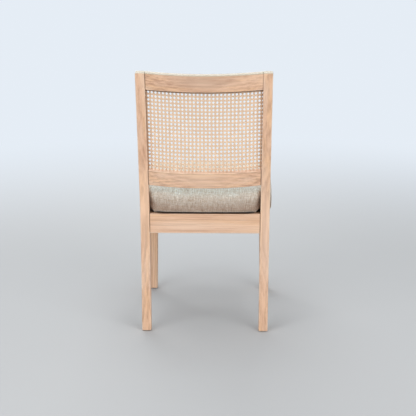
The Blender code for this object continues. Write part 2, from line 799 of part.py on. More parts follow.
def cover_profile(offset, lowest=None):
    """(inset, height, share) of the rings of the cushion, moved in from its surface by an offset.

    From the drawn-in bottom edge, or from the height lowest, up the sides, round the shoulder and over
    the crown, where the share scales the shoulder's outline towards the middle.
    """
    at_foam = math.asin((WIDEST_HEIGHT - FOAM_LOW) / LOWER_HEIGHT)
    angles = [at_foam * (1 - i / LOWER_STEPS) for i in range(LOWER_STEPS + 1)]
    if lowest is None:
        angles = [math.pi / 2, *angles]
    profile = []
    for angle in angles:
        out, up = LOWER_HEIGHT * math.cos(angle), CUSHION_DRAW_IN * math.sin(angle)
        size = math.hypot(out, up)
        inset = CUSHION_DRAW_IN * (1 - math.cos(angle)) + offset * out / size
        height = WIDEST_HEIGHT - LOWER_HEIGHT * math.sin(angle) + offset * up / size
        profile.append((inset, height, 1))
    if lowest is not None:
        profile[0] = (profile[0][0], lowest, 1)
    for i in range(1, UPPER_STEPS + 1):
        angle = math.pi / 2 * i / UPPER_STEPS
        out, up = UPPER_HEIGHT * math.cos(angle), SHOULDER_INSET * math.sin(angle)
        size = math.hypot(out, up)
        inset = SHOULDER_INSET * (1 - math.cos(angle)) + offset * out / size
        height = WIDEST_HEIGHT + UPPER_HEIGHT * math.sin(angle) - offset * up / size
        profile.append((inset, height, 1))
    for share in CROWN_SHARES:
        height = SHOULDER_HEIGHT + CUSHION_CROWN * (1 - share**2) - offset
        profile.append((SHOULDER_INSET, height, share))
    return profile


def cushion_rings(profile):
    middle = (BLOCK_BACK - DEPTH / 2) / 2
    rings = []
    for inset, height, share in profile:
        ring = []
        for x, y in seat_outline(inset):
            ring.append((x * share, middle + (y - middle) * share, height))
        rings.append(ring)
    return rings


def slab(inset, low, high):
    bm = bmesh.new()
    loft(bm, [[(x, y, z) for x, y in seat_outline(inset)] for z in (low, high)])
    return bm


def add_cushion():
    """Board, foam, fabric cover and dust cover. Returns the two sheets that the seat screws pass."""
    outside = [(FOLD_INSET, FOLD_LOW, 1), *cover_profile(0)]
    inside = [(FOLD_INSET, FOLD_LOW + COVER_THICKNESS, 1)]
    inside += cover_profile(COVER_THICKNESS)
    bm = bmesh.new()
    loft(bm, cushion_rings(outside)[::-1] + cushion_rings(inside))
    add_piece("seat_cover", bm, "tweed")
    bm = bmesh.new()
    loft(bm, cushion_rings(cover_profile(COVER_THICKNESS + JOINT_GAP, FOAM_LOW)))
    add_piece("seat_foam", bm, "foam")
    board = add_piece("seat_board", slab(BOARD_INSET, BOARD_LOW, BOARD_HIGH), "plywood")
    dust_cover = slab(
        DUST_COVER_INSET, DUST_COVER_LOW, DUST_COVER_LOW + DUST_COVER_THICKNESS
    )
    return [board, add_piece("dust_cover", dust_cover, "black_cloth")]


# Corner blocks and screws
CORNER_BLOCK_TOP = SEAT_RAIL_TOP - CORNER_BLOCK_DROP
CORNER_BLOCK_BOTTOM = CORNER_BLOCK_TOP - CORNER_BLOCK_HEIGHT
LEG_FACE_X = {REAR: inner_face(CORNER_BLOCK_BOTTOM), FRONT: FRONT_INNER_FACE}
RAIL_FACE_Y = {
    REAR: REAR_RAIL_MIDDLE - SEAT_RAIL_THICKNESS / 2,
    FRONT: FRONT_RAIL_MIDDLE + SEAT_RAIL_THICKNESS / 2,
}
SEAT_SCREW_FOOT = CORNER_BLOCK_BOTTOM + SEAT_SCREW_SEAT
SEAT_SCREW_LENGTH = BOARD_LOW + SEAT_SCREW_BITE - SEAT_SCREW_FOOT


def side_rail_face(y):
    return side_rail_middle(y) - SEAT_RAIL_THICKNESS / 2


def corner_block(side, end):
    """A brace across a corner of the seat frame, notched round the leg."""
    leg_x = LEG_FACE_X[end] - JOINT_GAP
    leg_y = SIDE_RAIL_ENDS[end]
    rail_y = RAIL_FACE_Y[end] - end * JOINT_GAP
    tail_y = leg_y - end * BLOCK_REACH
    tail_x = side_rail_face(tail_y) - JOINT_GAP
    plan = (
        (leg_x, rail_y),
        (leg_x - BLOCK_REACH, rail_y),
        (leg_x - BLOCK_REACH, rail_y - end * BLOCK_WING),
        (tail_x - BLOCK_WING, tail_y),
        (tail_x, tail_y),
        (side_rail_face(leg_y) - JOINT_GAP, leg_y - end * JOINT_GAP),
        (leg_x, leg_y - end * JOINT_GAP),
    )
    heights = (CORNER_BLOCK_BOTTOM, CORNER_BLOCK_TOP)
    bm = bmesh.new()
    loft(bm, [[(side * x, y, z) for x, y in plan] for z in heights])
    return bm


def screw_mesh(name, length):
    return turned_mesh(
        name,
        (
            (0, -HEAD_HEIGHT),
            (HEAD_RADIUS - HEAD_EDGE, -HEAD_HEIGHT),
            (HEAD_RADIUS, HEAD_EDGE - HEAD_HEIGHT),
            (HEAD_RADIUS, 0),
            (SHANK_RADIUS, 0),
            (SHANK_RADIUS, length - POINT_LENGTH),
            (POINT_RADIUS, length),
            (0, length),
        ),
    )


def screw_hole_mesh(name, length):
    """The counterbore and the hole that a screw sits in, which start well in front of its head."""
    bore = SHANK_RADIUS + JOINT_GAP
    return turned_mesh(
        name,
        (
            (0, -BLOCK_REACH),
            (COUNTERBORE_RADIUS, -BLOCK_REACH),
            (COUNTERBORE_RADIUS, JOINT_GAP),
            (bore, JOINT_GAP),
            (bore, length + JOINT_GAP),
            (0, length + JOINT_GAP),
        ),
    )


def placed(point, direction):
    """The place of a turned piece whose axis starts at the point and runs in the direction."""
    turn = Vector(direction).to_track_quat("Z", "Y")
    return Matrix.Translation(point) @ turn.to_matrix().to_4x4()


def add_copy(name, mesh, place, finish):
    obj = bpy.data.objects.new(name, mesh.copy())
    bpy.context.scene.collection.objects.link(obj)
    obj.matrix_world = place
    add_material(obj, finish)


def add_corners(rails, sheets):
    """Each corner's block, its two screws into the rails and its screw up into the seat board."""
    frame_screw = screw_mesh("frame_screw", FRAME_SCREW_LENGTH)
    frame_hole = screw_hole_mesh("frame_screw_hole", FRAME_SCREW_LENGTH)
    seat_screw = screw_mesh("seat_screw", SEAT_SCREW_LENGTH)
    seat_hole = screw_hole_mesh("seat_screw_hole", SEAT_SCREW_LENGTH)
    middle = (CORNER_BLOCK_BOTTOM + CORNER_BLOCK_TOP) / 2
    for end, end_name in ((REAR, "rear"), (FRONT, "front")):
        for side, hand in ((LEFT, "left"), (RIGHT, "right")):
            where = end_name + "_" + hand
            piece = corner_block(side, end)
            block = add_piece("corner_block_" + where, piece, "washed_wood")
            leg_x, leg_y = LEG_FACE_X[end], SIDE_RAIL_ENDS[end]
            across = Vector(
                (
                    side * (leg_x - FRAME_SCREW_INSET),
                    RAIL_FACE_Y[end] - end * FRAME_SCREW_SEAT,
                    middle + FRAME_SCREW_STAGGER,
                )
            )
            screw_y = leg_y - end * FRAME_SCREW_INSET
            sideways = Vector(
                (
                    side * (side_rail_face(screw_y) - FRAME_SCREW_SEAT),
                    screw_y,
                    middle - FRAME_SCREW_STAGGER,
                )
            )
            upright = Vector(
                (
                    side * (leg_x - SEAT_SCREW_INSET),
                    leg_y - end * SEAT_SCREW_INSET,
                    SEAT_SCREW_FOOT,
                )
            )
            for label, start, direction, mesh, hole, targets in (
                ("rail_screw_", across, (0, end, 0), frame_screw, frame_hole, [rails[end]]),
                ("side_screw_", sideways, (side, 0, 0), frame_screw, frame_hole, [rails[hand]]),
                ("seat_screw_", upright, (0, 0, 1), seat_screw, seat_hole, sheets),
            ):
                place = placed(start, direction)
                add_copy(label + where, mesh, place, "zinc_plate")
                add_cutter(label + where + "_hole", hole, [block, *targets], place)


# Foot glides


def add_glides(legs):
    """A round glide under each foot, with a pin driven up into the leg."""
    glide = turned_mesh(
        "foot_glide",
        (
            (0, 0),
            (GLIDE_RADIUS - GLIDE_EDGE, 0),
            (GLIDE_RADIUS, GLIDE_EDGE),
            (GLIDE_RADIUS, GLIDE_THICKNESS),
            (PIN_RADIUS, GLIDE_THICKNESS),
            (PIN_RADIUS, GLIDE_THICKNESS + PIN_LENGTH),
            (0, GLIDE_THICKNESS + PIN_LENGTH),
        ),
    )
    bore = PIN_RADIUS + JOINT_GAP
    depth = GLIDE_THICKNESS + PIN_LENGTH + JOINT_GAP
    hole = turned_mesh("pin_hole", ((0, 0), (bore, 0), (bore, depth), (0, depth)))
    places = {
        REAR: (
            outer_face(0) - POST_WIDTH / 2,
            BLOCK_BACK + FOOT_SETBACK - FOOT_DEPTH / 2,
        ),
        FRONT: ((FRONT_SPREAD - FRONT_FOOT) / 2, FRONT_LEG_FACE + FRONT_FOOT / 2),
    }
    for end, end_name in ((REAR, "rear"), (FRONT, "front")):
        for side, hand in ((LEFT, "left"), (RIGHT, "right")):
            x, y = places[end]
            place = Matrix.Translation((side * x, y, 0))
            name = "foot_glide_" + end_name + "_" + hand
            add_copy(name, glide, place, "nylon")
            add_cutter(name + "_hole", hole, [legs[side, end]], place)


def build():
    clear_scene()
    legs = add_legs()
    rails = add_seat_rails()
    add_back_rails()
    add_cane()
    add_beads()
    sheets = add_cushion()
    add_corners(rails, sheets)
    add_glides(legs)


build()
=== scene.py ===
"""Looks of the cane back dining chair.

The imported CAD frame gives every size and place. Each piece of wood gets its own grain, the cane is woven
strand by strand and bent onto the bow of the back, and the seat is stuffed by cloth simulation.
"""

import math

import bmesh
import bpy
import numpy as np
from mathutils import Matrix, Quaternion, Vector


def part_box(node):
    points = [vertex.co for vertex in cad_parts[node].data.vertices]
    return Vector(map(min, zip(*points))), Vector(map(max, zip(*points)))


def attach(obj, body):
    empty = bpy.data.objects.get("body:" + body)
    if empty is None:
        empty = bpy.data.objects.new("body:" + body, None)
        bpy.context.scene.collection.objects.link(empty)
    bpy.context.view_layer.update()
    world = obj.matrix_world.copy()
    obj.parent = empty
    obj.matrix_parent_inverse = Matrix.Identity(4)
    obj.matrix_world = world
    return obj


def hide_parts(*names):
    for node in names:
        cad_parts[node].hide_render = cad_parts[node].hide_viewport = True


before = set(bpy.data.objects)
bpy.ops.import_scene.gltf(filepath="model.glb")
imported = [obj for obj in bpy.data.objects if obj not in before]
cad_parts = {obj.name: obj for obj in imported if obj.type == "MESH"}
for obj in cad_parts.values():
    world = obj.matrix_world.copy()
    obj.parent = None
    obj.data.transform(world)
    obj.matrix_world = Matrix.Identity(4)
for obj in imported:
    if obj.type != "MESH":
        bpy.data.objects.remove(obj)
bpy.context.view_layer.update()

# Rear legs
# Each is sawn from one board of pale hardwood, from the floor to the top of the back, and its edges are
# eased by hand. The whole frame is stained a light peach and wiped with a white wash.

PEACH = (0.725, 0.475, 0.325, 1)
WARMER_PEACH = (0.69, 0.435, 0.29, 1)
PALER_PEACH = (0.82, 0.555, 0.385, 1)
ROSE_BROWN = (0.44, 0.252, 0.165, 1)
HONEY = (0.76, 0.49, 0.295, 1)
WHITE_WASH = (0.82, 0.66, 0.54, 1)
# The wash rubbed thin on the arrises; on the bottom edges of the seat rails it serves as a painted
# highlight.
RUBBED_AND_HIGHLIGHT = (0.86, 0.68, 0.53, 1)
# Dark stain in the joints, also used as painted shade under the seat, under the lower back rail and on the
# cane.
JOINT_STAIN_AND_SHADE = (0.16, 0.085, 0.05, 1)
# Painted shade: a greyer, darker colour on the tops of the posts and the crest rail, against the light from
# above.
PAINTED_TOP_SHADE = (0.42, 0.375, 0.285, 1)
POST_FACE, POST_SPLAY = 0.1785, 0.00863
STAIN_START, STAIN_FULL = 0.0036, 0.0008
MERGE_DISTANCE = 2e-6
FLAT_ANGLE = math.radians(0.3)
ARRIS_ANGLE = math.radians(50)
ARRIS_WIDTH = 0.0026
GRAIN_TURNS = {"X": (0, 0, 0), "Y": (0, 0, -math.pi / 2), "Z": (0, math.pi / 2, 0)}
UP, DOWN = (0, 0, 1), (0, 0, -1)


def connect(value, socket):
    if isinstance(value, bpy.types.NodeSocket):
        socket.id_data.links.new(value, socket)
    else:
        socket.default_value = value


def tree_of(*values):
    """The node tree of the first socket among some values."""
    return next(value.id_data for value in values if isinstance(value, bpy.types.NodeSocket))


def add_node(tree, kind, settings=None, **inputs):
    """A shader node, with each named input set to a value or linked to a socket."""
    made = tree.nodes.new("ShaderNode" + kind)
    for name, value in (settings or {}).items():
        setattr(made, name, value)
    for name, value in inputs.items():
        connect(value, made.inputs[name.replace("_", " ")])
    return made


def maths(operation, *values, kind="Math", result=0):
    made = add_node(tree_of(*values), kind, {"operation": operation})
    for socket, value in zip(made.inputs, values):
        connect(value, socket)
    return made.outputs[result]


def vector_maths(operation, *values):
    result = 1 if operation in ("LENGTH", "DOT_PRODUCT") else 0
    return maths(operation, *values, kind="VectorMath", result=result)


def times(first, second):
    return maths("MULTIPLY", first, second)


def times_plus(first, second, third):
    return maths("MULTIPLY_ADD", first, second, third)


def object_place(tree):
    return add_node(tree, "TexCoord").outputs["Object"]


def parts_of(vector):
    """The X, Y and Z of a vector."""
    return add_node(tree_of(vector), "SeparateXYZ", Vector=vector).outputs


def marked(tree, name):
    """What an attribute of the mesh says."""
    return add_node(tree, "Attribute", {"attribute_name": name}).outputs["Fac"]


def fade(value, low, high, to_low=0.0, to_high=1.0):
    """A smooth step from to_low, where the value is low, to to_high, where it is high."""
    ends = {"From_Min": low, "From_Max": high, "To_Min": to_low, "To_Max": to_high}
    settings = {"interpolation_type": "SMOOTHSTEP"}
    return add_node(tree_of(value), "MapRange", settings, Value=value, **ends).outputs["Result"]


def blend(share, first, second, blend_type="MIX"):
    """Lays a second colour over a first one by a share."""
    settings = {"data_type": "RGBA", "blend_type": blend_type}
    made = add_node(tree_of(share, first, second), "Mix", settings)
    for place, value in ((0, share), (6, first), (7, second)):
        connect(value, made.inputs[place])
    return made.outputs[2]


def noise(place, scale, detail, roughness=0.5):
    return add_node(
        tree_of(place), "TexNoise", Vector=place, Scale=scale, Detail=detail, Roughness=roughness
    ).outputs


def cloud(place, stretch, detail=2.0, roughness=0.5):
    """Noise from 0 to 1, with so many features to a metre along each axis."""
    return noise(vector_maths("MULTIPLY", place, stretch), 1.0, detail, roughness)[0]


def wavered(place, noise_place, scale, detail, amount):
    """A place shifted this way and that by noise, by up to half of the amount along each axis."""
    shift = vector_maths("SUBTRACT", noise(noise_place, scale, detail)["Color"], (0.5, 0.5, 0.5))
    return vector_maths("ADD", place, vector_maths("MULTIPLY", shift, amount))


def new_group(name, outputs, **inputs):
    """The sockets that a new shader group reads, and its output node. An input is given by what it
    starts as, or by None for a vector."""
    group = bpy.data.node_groups.new(name, "ShaderNodeTree")
    for label, value in inputs.items():
        kind = "Vector" if value is None else "Color" if isinstance(value, tuple) else "Float"
        label = label.replace("_", " ")
        socket = group.interface.new_socket(label, in_out="INPUT", socket_type="NodeSocket" + kind)
        if value is not None:
            socket.default_value = value
    for label in outputs:
        kind = "NodeSocketColor" if label == "Colour" else "NodeSocketFloat"
        group.interface.new_socket(label, in_out="OUTPUT", socket_type=kind)
    return group.nodes.new("NodeGroupInput").outputs, group.nodes.new("NodeGroupOutput")


def close_group(node, *values):
    for value, socket in zip(values, node.inputs):
        connect(value, socket)
    return node.id_data


def wood_grain_group():
    """Growth rings round the X axis, streaks, fibres and filled pores, all drawn out along X."""
    given, put_out = new_group(
        "wood_grain",
        ("Colour", "Roughness", "Height"),
        Place=None,
        Pale=PEACH,
        Deep=ROSE_BROWN,
        Honey=HONEY,
        Wash=WHITE_WASH,
        Ring_Width=0.008,
        Figure=0.01,
        Contrast=1.0,
        Wash_Share=0.35,
    )
    place = given["Place"]
    wander = times(maths("SUBTRACT", cloud(place, (2.6, 9, 9)), 0.5), given["Figure"])
    radius = vector_maths("LENGTH", vector_maths("MULTIPLY", place, (0, 1, 1)))
    rings = maths("DIVIDE", maths("ADD", radius, wander), given["Ring Width"])
    rings = times_plus(cloud(place, (9, 160, 160)), 0.9, rings)
    turn = maths("FRACT", rings)
    late = times(fade(turn, 0.15, 0.85), fade(turn, 1.0, 0.86))
    late = times(late, fade(cloud(place, (2.2, 24, 24)), 0.3, 0.7, 0.25, 1.0))
    streaks = fade(cloud(place, (4.0, 130, 130), 3.0, 0.6), 0.38, 0.68)
    fibres = fade(cloud(place, (22, 820, 820), 3.0, 0.65), 0.28, 0.74)
    pores = fade(cloud(place, (38, 1350, 1350)), 0.60, 0.70)
    tone = times(late, 0.32)
    for part, amount in ((streaks, 0.50), (fibres, 0.18)):
        tone = times_plus(part, amount, tone)
    sunny = fade(cloud(place, (2.0, 48, 48)), 0.42, 0.64, 0.0, 0.8)
    mottle = fade(cloud(place, (3, 26, 26), 3.0), 0.42, 0.72, 0.0, 0.32)
    colour = blend(sunny, given["Pale"], given["Honey"])
    colour = blend(times(tone, given["Contrast"]), colour, given["Deep"])
    colour = blend(times(pores, given["Wash Share"]), colour, given["Wash"])
    colour = blend(mottle, colour, given["Wash"])
    height = times_plus(pores, -0.55, times_plus(fibres, 0.35, times(late, 0.3)))
    return close_group(put_out, colour, times_plus(fibres, 0.16, 0.46), height)


wood_grain = wood_grain_group()


def use_group(tree, group, **values):
    """What a shader group puts out with its own values."""
    return add_node(tree, "Group", {"node_tree": group}, **values).outputs


def new_material(name, gloss=0.5, **constants):
    """A material with one Principled shader. Returns it and its tree."""
    material = bpy.data.materials.new(name)
    material.use_nodes = True
    sockets = material.node_tree.nodes["Principled BSDF"].inputs
    sockets["Specular IOR Level"].default_value = gloss
    for socket, value in constants.items():
        sockets[socket.replace("_", " ")].default_value = value
    return material, material.node_tree


def lay_finish(colour, height, depth, strength, roughness=None):
    """Gives a material its colour, a relief of that depth and, where it varies, its roughness."""
    tree = tree_of(colour)
    sockets = tree.nodes["Principled BSDF"].inputs
    relief = add_node(tree, "Bump", Height=height, Distance=depth, Strength=strength)
    connect(colour, sockets["Base Color"])
    connect(relief.outputs["Normal"], sockets["Normal"])
    if roughness is not None:
        connect(roughness, sockets["Roughness"])
    return relief


def cover_finish(share, colour=JOINT_STAIN_AND_SHADE):
    """Lays another colour over a finish, by a share from 0 to 1; by default the joint stain, also painted
    shade.
    """
    base = tree_of(share).nodes["Principled BSDF"].inputs["Base Color"]
    connect(blend(share, base.links[0].from_socket, colour), base)


def edge_share(material, towards, edge, start, full, most):
    """A share that rises towards an edge, from nothing at the distance start to the most at full. edge
    is how far the edge lies along towards."""
    reach = vector_maths("DOT_PRODUCT", object_place(material.node_tree), towards)
    return fade(reach, edge - start, edge - full, 0.0, most)


def wood_material(name, along, start, pith, shoulders=None, **values):
    """Wood whose grain runs along an axis, with its rings round a line that passes through pith.

    start moves the grain along, so that no two pieces are cut from the same stretch. The wash is rubbed
    thin on the arrises. Stain gathers at the shoulders of a rail between the rear legs, by shares for
    its left and its right end.
    """
    material, tree = new_material(name, 0.4)
    first, second = pith
    shifts = {"X": (start, -first, -second), "Y": (start, first, -second), "Z": (start, -second, first)}
    place = add_node(
        tree, "Mapping", Vector=object_place(tree), Rotation=GRAIN_TURNS[along], Location=shifts[along]
    ).outputs["Vector"]
    grain = use_group(tree, wood_grain, Place=place, **values)
    patches = fade(cloud(place, (26, 60, 60)), 0.35, 0.65, 0.0, 0.5)
    colour = blend(times(marked(tree, "arris"), patches), grain["Colour"], RUBBED_AND_HIGHLIGHT)
    lay_finish(colour, grain["Height"], 0.00025, 0.6, grain["Roughness"])
    if shoulders:
        apart = parts_of(object_place(tree))
        post_face = times_plus(apart["Z"], POST_SPLAY, POST_FACE)
        from_post = maths("SUBTRACT", post_face, maths("ABSOLUTE", apart["X"]))
        end_share = fade(apart["X"], -0.1, 0.1, shoulders[1], shoulders[0])
        cover_finish(times(end_share, fade(from_post, STAIN_START, STAIN_FULL)))
    return material


scene = bpy.context.scene


def add_object(name, data):
    made = bpy.data.objects.new(name, data)
    scene.collection.objects.link(made)
    return made


def mesh_from(bm, name, sharp_angle=ARRIS_ANGLE):
    mesh = bpy.data.meshes.new(name)
    bm.to_mesh(mesh)
    bm.free()
    if "custom_normal" in mesh.attributes:
        mesh.attributes.remove(mesh.attributes["custom_normal"])
    mesh.shade_smooth()
    mesh.set_sharp_from_angle(angle=sharp_angle)
    return mesh


def add_piece(name, bm, material, node, sharp_angle=ARRIS_ANGLE):
    """A piece of the chair that stands in for a CAD node, which it hides, with the material it is given."""
    piece = add_object(name, mesh_from(bm, name, sharp_angle))
    piece.data.materials.clear()
    piece.data.materials.append(material)
    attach(piece, "root")
    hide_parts(node)
    return piece


def merge(bm):
    bmesh.ops.remove_doubles(bm, verts=bm.verts[:], dist=MERGE_DISTANCE)


def merged_copy(node):
    """A bmesh of a CAD node with its loose triangles merged and its flat faces whole."""
    bm = bmesh.new()
    bm.from_mesh(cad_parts[node].data)
    merge(bm)
    bmesh.ops.dissolve_limit(bm, angle_limit=FLAT_ANGLE, verts=bm.verts[:], edges=bm.edges[:])
    return bm


def wash_node(node, material):
    """Stands a smooth washed copy in for a CAD node. Its narrow faces are those of the rounded edges,
    and the attribute arris marks them for the wear."""
    bm = merged_copy(node)
    arris = bm.faces.layers.float.new("arris")
    for face in bm.faces:
        face[arris] = float(face.calc_area() / face.calc_perimeter() < ARRIS_WIDTH / 2)
    piece = add_piece(node + "_washed", bm, material, node)
    piece.modifiers.new("flat_faces", "WEIGHTED_NORMAL").keep_sharp = True


def add_streak(material, colour, most, middle, size, tilt=0.0, stretch=(5, 150, 150)):
    """A long streak of another colour in a piece of wood, with edges that follow the fibres."""
    tree = material.node_tree
    place = object_place(tree)
    scaled = vector_maths("MULTIPLY", place, (14, 14, 40))
    spot = add_node(
        tree,
        "Mapping",
        {"vector_type": "TEXTURE"},
        Vector=wavered(place, scaled, 1.0, 3.0, (0.16, 0.0, 0.045)),
        Location=middle,
        Rotation=(0, tilt, 0),
        Scale=size,
    )
    streak = fade(vector_maths("LENGTH", spot.outputs["Vector"]), 1.0, 0.35)
    fibres = fade(cloud(place, stretch, 3.0, 0.6), 0.35, 0.65, 0.35, 1.0)
    cover_finish(times(times(streak, fibres), most), colour)


for hand, start, pith, pale in (
    ("left", 0.3, (0.30, 0.02), WARMER_PEACH),
    ("right", 2.1, (-0.27, -0.02), PEACH),
):
    node = "rear_leg_" + hand
    grain = wood_material("washed_" + node, "Z", start, pith, Pale=pale, Ring_Width=0.0075, Figure=0.0035)
    if hand == "left":
        streak = {"middle": (0.2, 0.19, 0.47), "size": (0.1, 0.3, 0.13), "stretch": (150, 150, 5)}
        add_streak(grain, PALER_PEACH, 0.75, **streak)
    leg_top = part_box(node)[1].z
    # Painted shade darkens and greys the top of each post.
    cover_finish(edge_share(grain, UP, leg_top, start=0.0085, full=0.0028, most=0.9), PAINTED_TOP_SHADE)
    wash_node(node, grain)

# Front legs
# Square legs of the same wood, tapered on their two inner faces below the seat rails. They are cut so
# that their grain runs straight down. Their peach is painted paler, as painted light in the shade of the
# seat.

PEACH_PAINTED_LIGHTER = (0.85, 0.585, 0.415, 1)
for hand, start, pith in (("left", 4.2, (0.33, -0.20)), ("right", 5.7, (-0.35, -0.21))):
    node = "front_leg_" + hand
    looks = {"Pale": PEACH_PAINTED_LIGHTER, "Ring_Width": 0.007, "Figure": 0.0035}
    wash_node(node, wood_material("washed_" + node, "Z", start, pith, **looks))

# Seat rails
# Four rails tenoned into the legs. They are flat-sawn, so their wide faces show long arched figures, and
# their ends are cut square against the legs. Painted shade of the seat darkens their top edges, most along
# the middle of the rear one, and a painted highlight lightens their bottom edges.

for node, along, start, pith in (
    ("rear_seat_rail", "X", 7.1, (0.27, 0.20)),
    ("front_seat_rail", "X", 8.9, (-0.36, 0.19)),
    ("side_seat_rail_left", "Y", 10.3, (0.30, 0.22)),
    ("side_seat_rail_right", "Y", 12.6, (-0.31, 0.55)),
):
    shoulders = (0.85, 0.85) if node == "rear_seat_rail" else None
    looks = {"Ring_Width": 0.0065, "Figure": 0.016}
    grain = wood_material("washed_" + node, along, start, pith, shoulders, **looks)
    low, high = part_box(node)
    # Painted shade: the seat's shadow darkens the top edge of each rail, on the rear rail most along its
    # middle.
    painted_seat_shade = edge_share(grain, UP, high.z, start=0.0018, full=0.0004, most=0.97)
    if node == "rear_seat_rail":
        from_middle = maths("ABSOLUTE", parts_of(object_place(grain.node_tree))["X"])
        painted_seat_shade = times(painted_seat_shade, fade(from_middle, 0.135, 0.165, 1.0, 0.45))
    cover_finish(painted_seat_shade)
    # Painted highlight: the bottom edge of each seat rail is lightened.
    cover_finish(edge_share(grain, DOWN, -low.z, start=0.0045, full=0.0020, most=0.6), RUBBED_AND_HIGHLIGHT)
    wash_node(node, grain)

# Crest rail and lower back rail
# Both are sawn to the bow of the back from thick boards. The saw cuts across the growth rings, so the
# figure fans out towards the ends. A dark line runs along the lower rail, close under the cane.

RAKE = math.radians(9)
RAKE_START = 0.440
BACK_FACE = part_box("rear_seat_rail")[1].y + 0.002
UP_THE_RAKE = Vector((0, math.sin(RAKE), math.cos(RAKE)))
RAKE_ORIGIN = UP_THE_RAKE.dot(Vector((0, BACK_FACE, RAKE_START)))
LOWER_RAIL_LOW = 0.054
CREST_TOP = 0.4304
DARK_LINE = 0.1020
SHEET_LOW, SHEET_HIGH = 0.106, 0.3754
GREYER_PEACH = (0.69, 0.46, 0.325, 1)
LIGHT_PEACH = (0.75, 0.492, 0.338, 1)
HEARTWOOD = (0.36, 0.225, 0.155, 1)
for node, start, pith, shoulders, pale, figure in (
    ("crest_rail", 14.4, (0.20, 0.70), (0.85, 0.40), GREYER_PEACH, 0.030),
    ("lower_back_rail", 16.2, (0.34, 0.28), (0.85, 0.85), LIGHT_PEACH, 0.012),
):
    looks = {"Pale": pale, "Ring_Width": 0.009, "Figure": figure, "Contrast": 1.3}
    grain = wood_material("washed_" + node, "X", start, pith, shoulders, **looks)
    if node == "crest_rail":
        add_streak(grain, HEARTWOOD, 0.52, middle=(0.0, 0.25, 0.838), size=(0.17, 1.0, 0.028), tilt=0.05)
        add_streak(grain, PALER_PEACH, 0.36, middle=(-0.15, 0.25, 0.845), size=(0.10, 1.0, 0.05))
        top = RAKE_ORIGIN + CREST_TOP
        # Painted shade darkens and greys the top of the crest rail.
        top_shade = edge_share(grain, UP_THE_RAKE, top, start=0.0045, full=0.0012, most=0.9)
        cover_finish(top_shade, PAINTED_TOP_SHADE)
    else:
        low, line = RAKE_ORIGIN + LOWER_RAIL_LOW, RAKE_ORIGIN + DARK_LINE
        # Painted shade darkens the bottom edge of the lower rail, over the seat.
        cover_finish(edge_share(grain, -UP_THE_RAKE, -low, start=0.0022, full=0.0006, most=0.8))
        below = edge_share(grain, UP_THE_RAKE, line, start=0.0016, full=0.0004, most=0.45)
        above = edge_share(grain, -UP_THE_RAKE, -line, start=0.0016, full=0.0004, most=1.0)
        cover_finish(times(below, above), HEARTWOOD)
    wash_node(node, grain)

# Woven cane
# Six-way cane: upright and level strands in pairs, bound by two sets of slanting strands. It is woven
# flat, cut to size and pressed into the rebate on the bow, with one last level pair behind its top edge.
# Painted shade darkens its rear under the crest rail and beside the posts.

BOW_RADIUS, BOW_CENTRE = 0.5552, -0.5368
WEAVE_RADIUS = BOW_RADIUS - 0.0061
TUCK = 0.0070
COLUMNS, ROWS = 30, 21
COLUMN_PITCH, ROW_PITCH = 0.01233, 0.01267
FIRST_ROW = 0.1097
SHEET_SHIFT, SHEET_SKEW = 0.0011, 0.0075
SHEET_SLACK, SLACK_HALF_WIDTH = 0.007, 0.19
EDGE_PAIR, EDGE_PAIR_REACH, EDGE_PAIR_POINTS = 0.3744, 0.183, 123
STRAND_WIDTH, STRAND_THICKNESS = 0.0020, 0.00062
PAIR_HALF_STEP = 0.00110
SHOULDER, SHOULDER_RISE = 0.0031, 0.55
SLANT_PROFILE = ((0.0, -1.0), (0.30, -0.85), (0.5, 0.0), (0.70, 0.85))
# Painted shade on the cane: the shadow of the crest rail along the top, and shade beside the posts.
CREST_SHADE_SPAN = (SHEET_HIGH - 0.0086, SHEET_HIGH - 0.0064)
POST_SHADE_SPAN, MOST_POST_SHADE = (0.0038, 0.0), 0.9
CANE_PALE = (0.86, 0.665, 0.495, 1)
CANE_DEEP = (0.62, 0.42, 0.275, 1)


def part_way(value, start, end):
    """How far a value has come from start to end, from 0 to 1."""
    return min(1, max(0, (value - start) / (end - start)))


def bow_place(across, along, behind=0.0):
    """A point of the bowed back: across the bow, along the rake, and behind the middle of the weave.

    Between the rails nothing holds the cane to their bow, so there it is pulled a little flatter.
    """
    free = math.sin(math.pi * part_way(along, SHEET_LOW, SHEET_HIGH))
    radius = WEAVE_RADIUS + behind - SHEET_SLACK * free * max(0, 1 - (across / SLACK_HALF_WIDTH) ** 2)
    angle = across / WEAVE_RADIUS
    depth = BOW_CENTRE + radius * math.cos(angle)
    return Vector(
        (
            radius * math.sin(angle),
            BACK_FACE + along * math.sin(RAKE) + depth * math.cos(RAKE),
            RAKE_START + along * math.cos(RAKE) - depth * math.sin(RAKE),
        )
    )


def sheet_half_width(along):
    """How far the cane reaches across the bow, which is the inner face of a post and the tuck."""
    x = POST_FACE + POST_SPLAY * (RAKE_START + along * math.cos(RAKE)) + TUCK
    return WEAVE_RADIUS * math.asin(x / WEAVE_RADIUS)


def painted_cane_shade_at(across, along):
    """How much painted shade lies on the cane: the crest rail's shadow and the shade beside the posts."""
    from_post = sheet_half_width(along) - TUCK - abs(across)
    return max(part_way(along, *CREST_SHADE_SPAN), MOST_POST_SHADE * part_way(from_post, *POST_SHADE_SPAN))


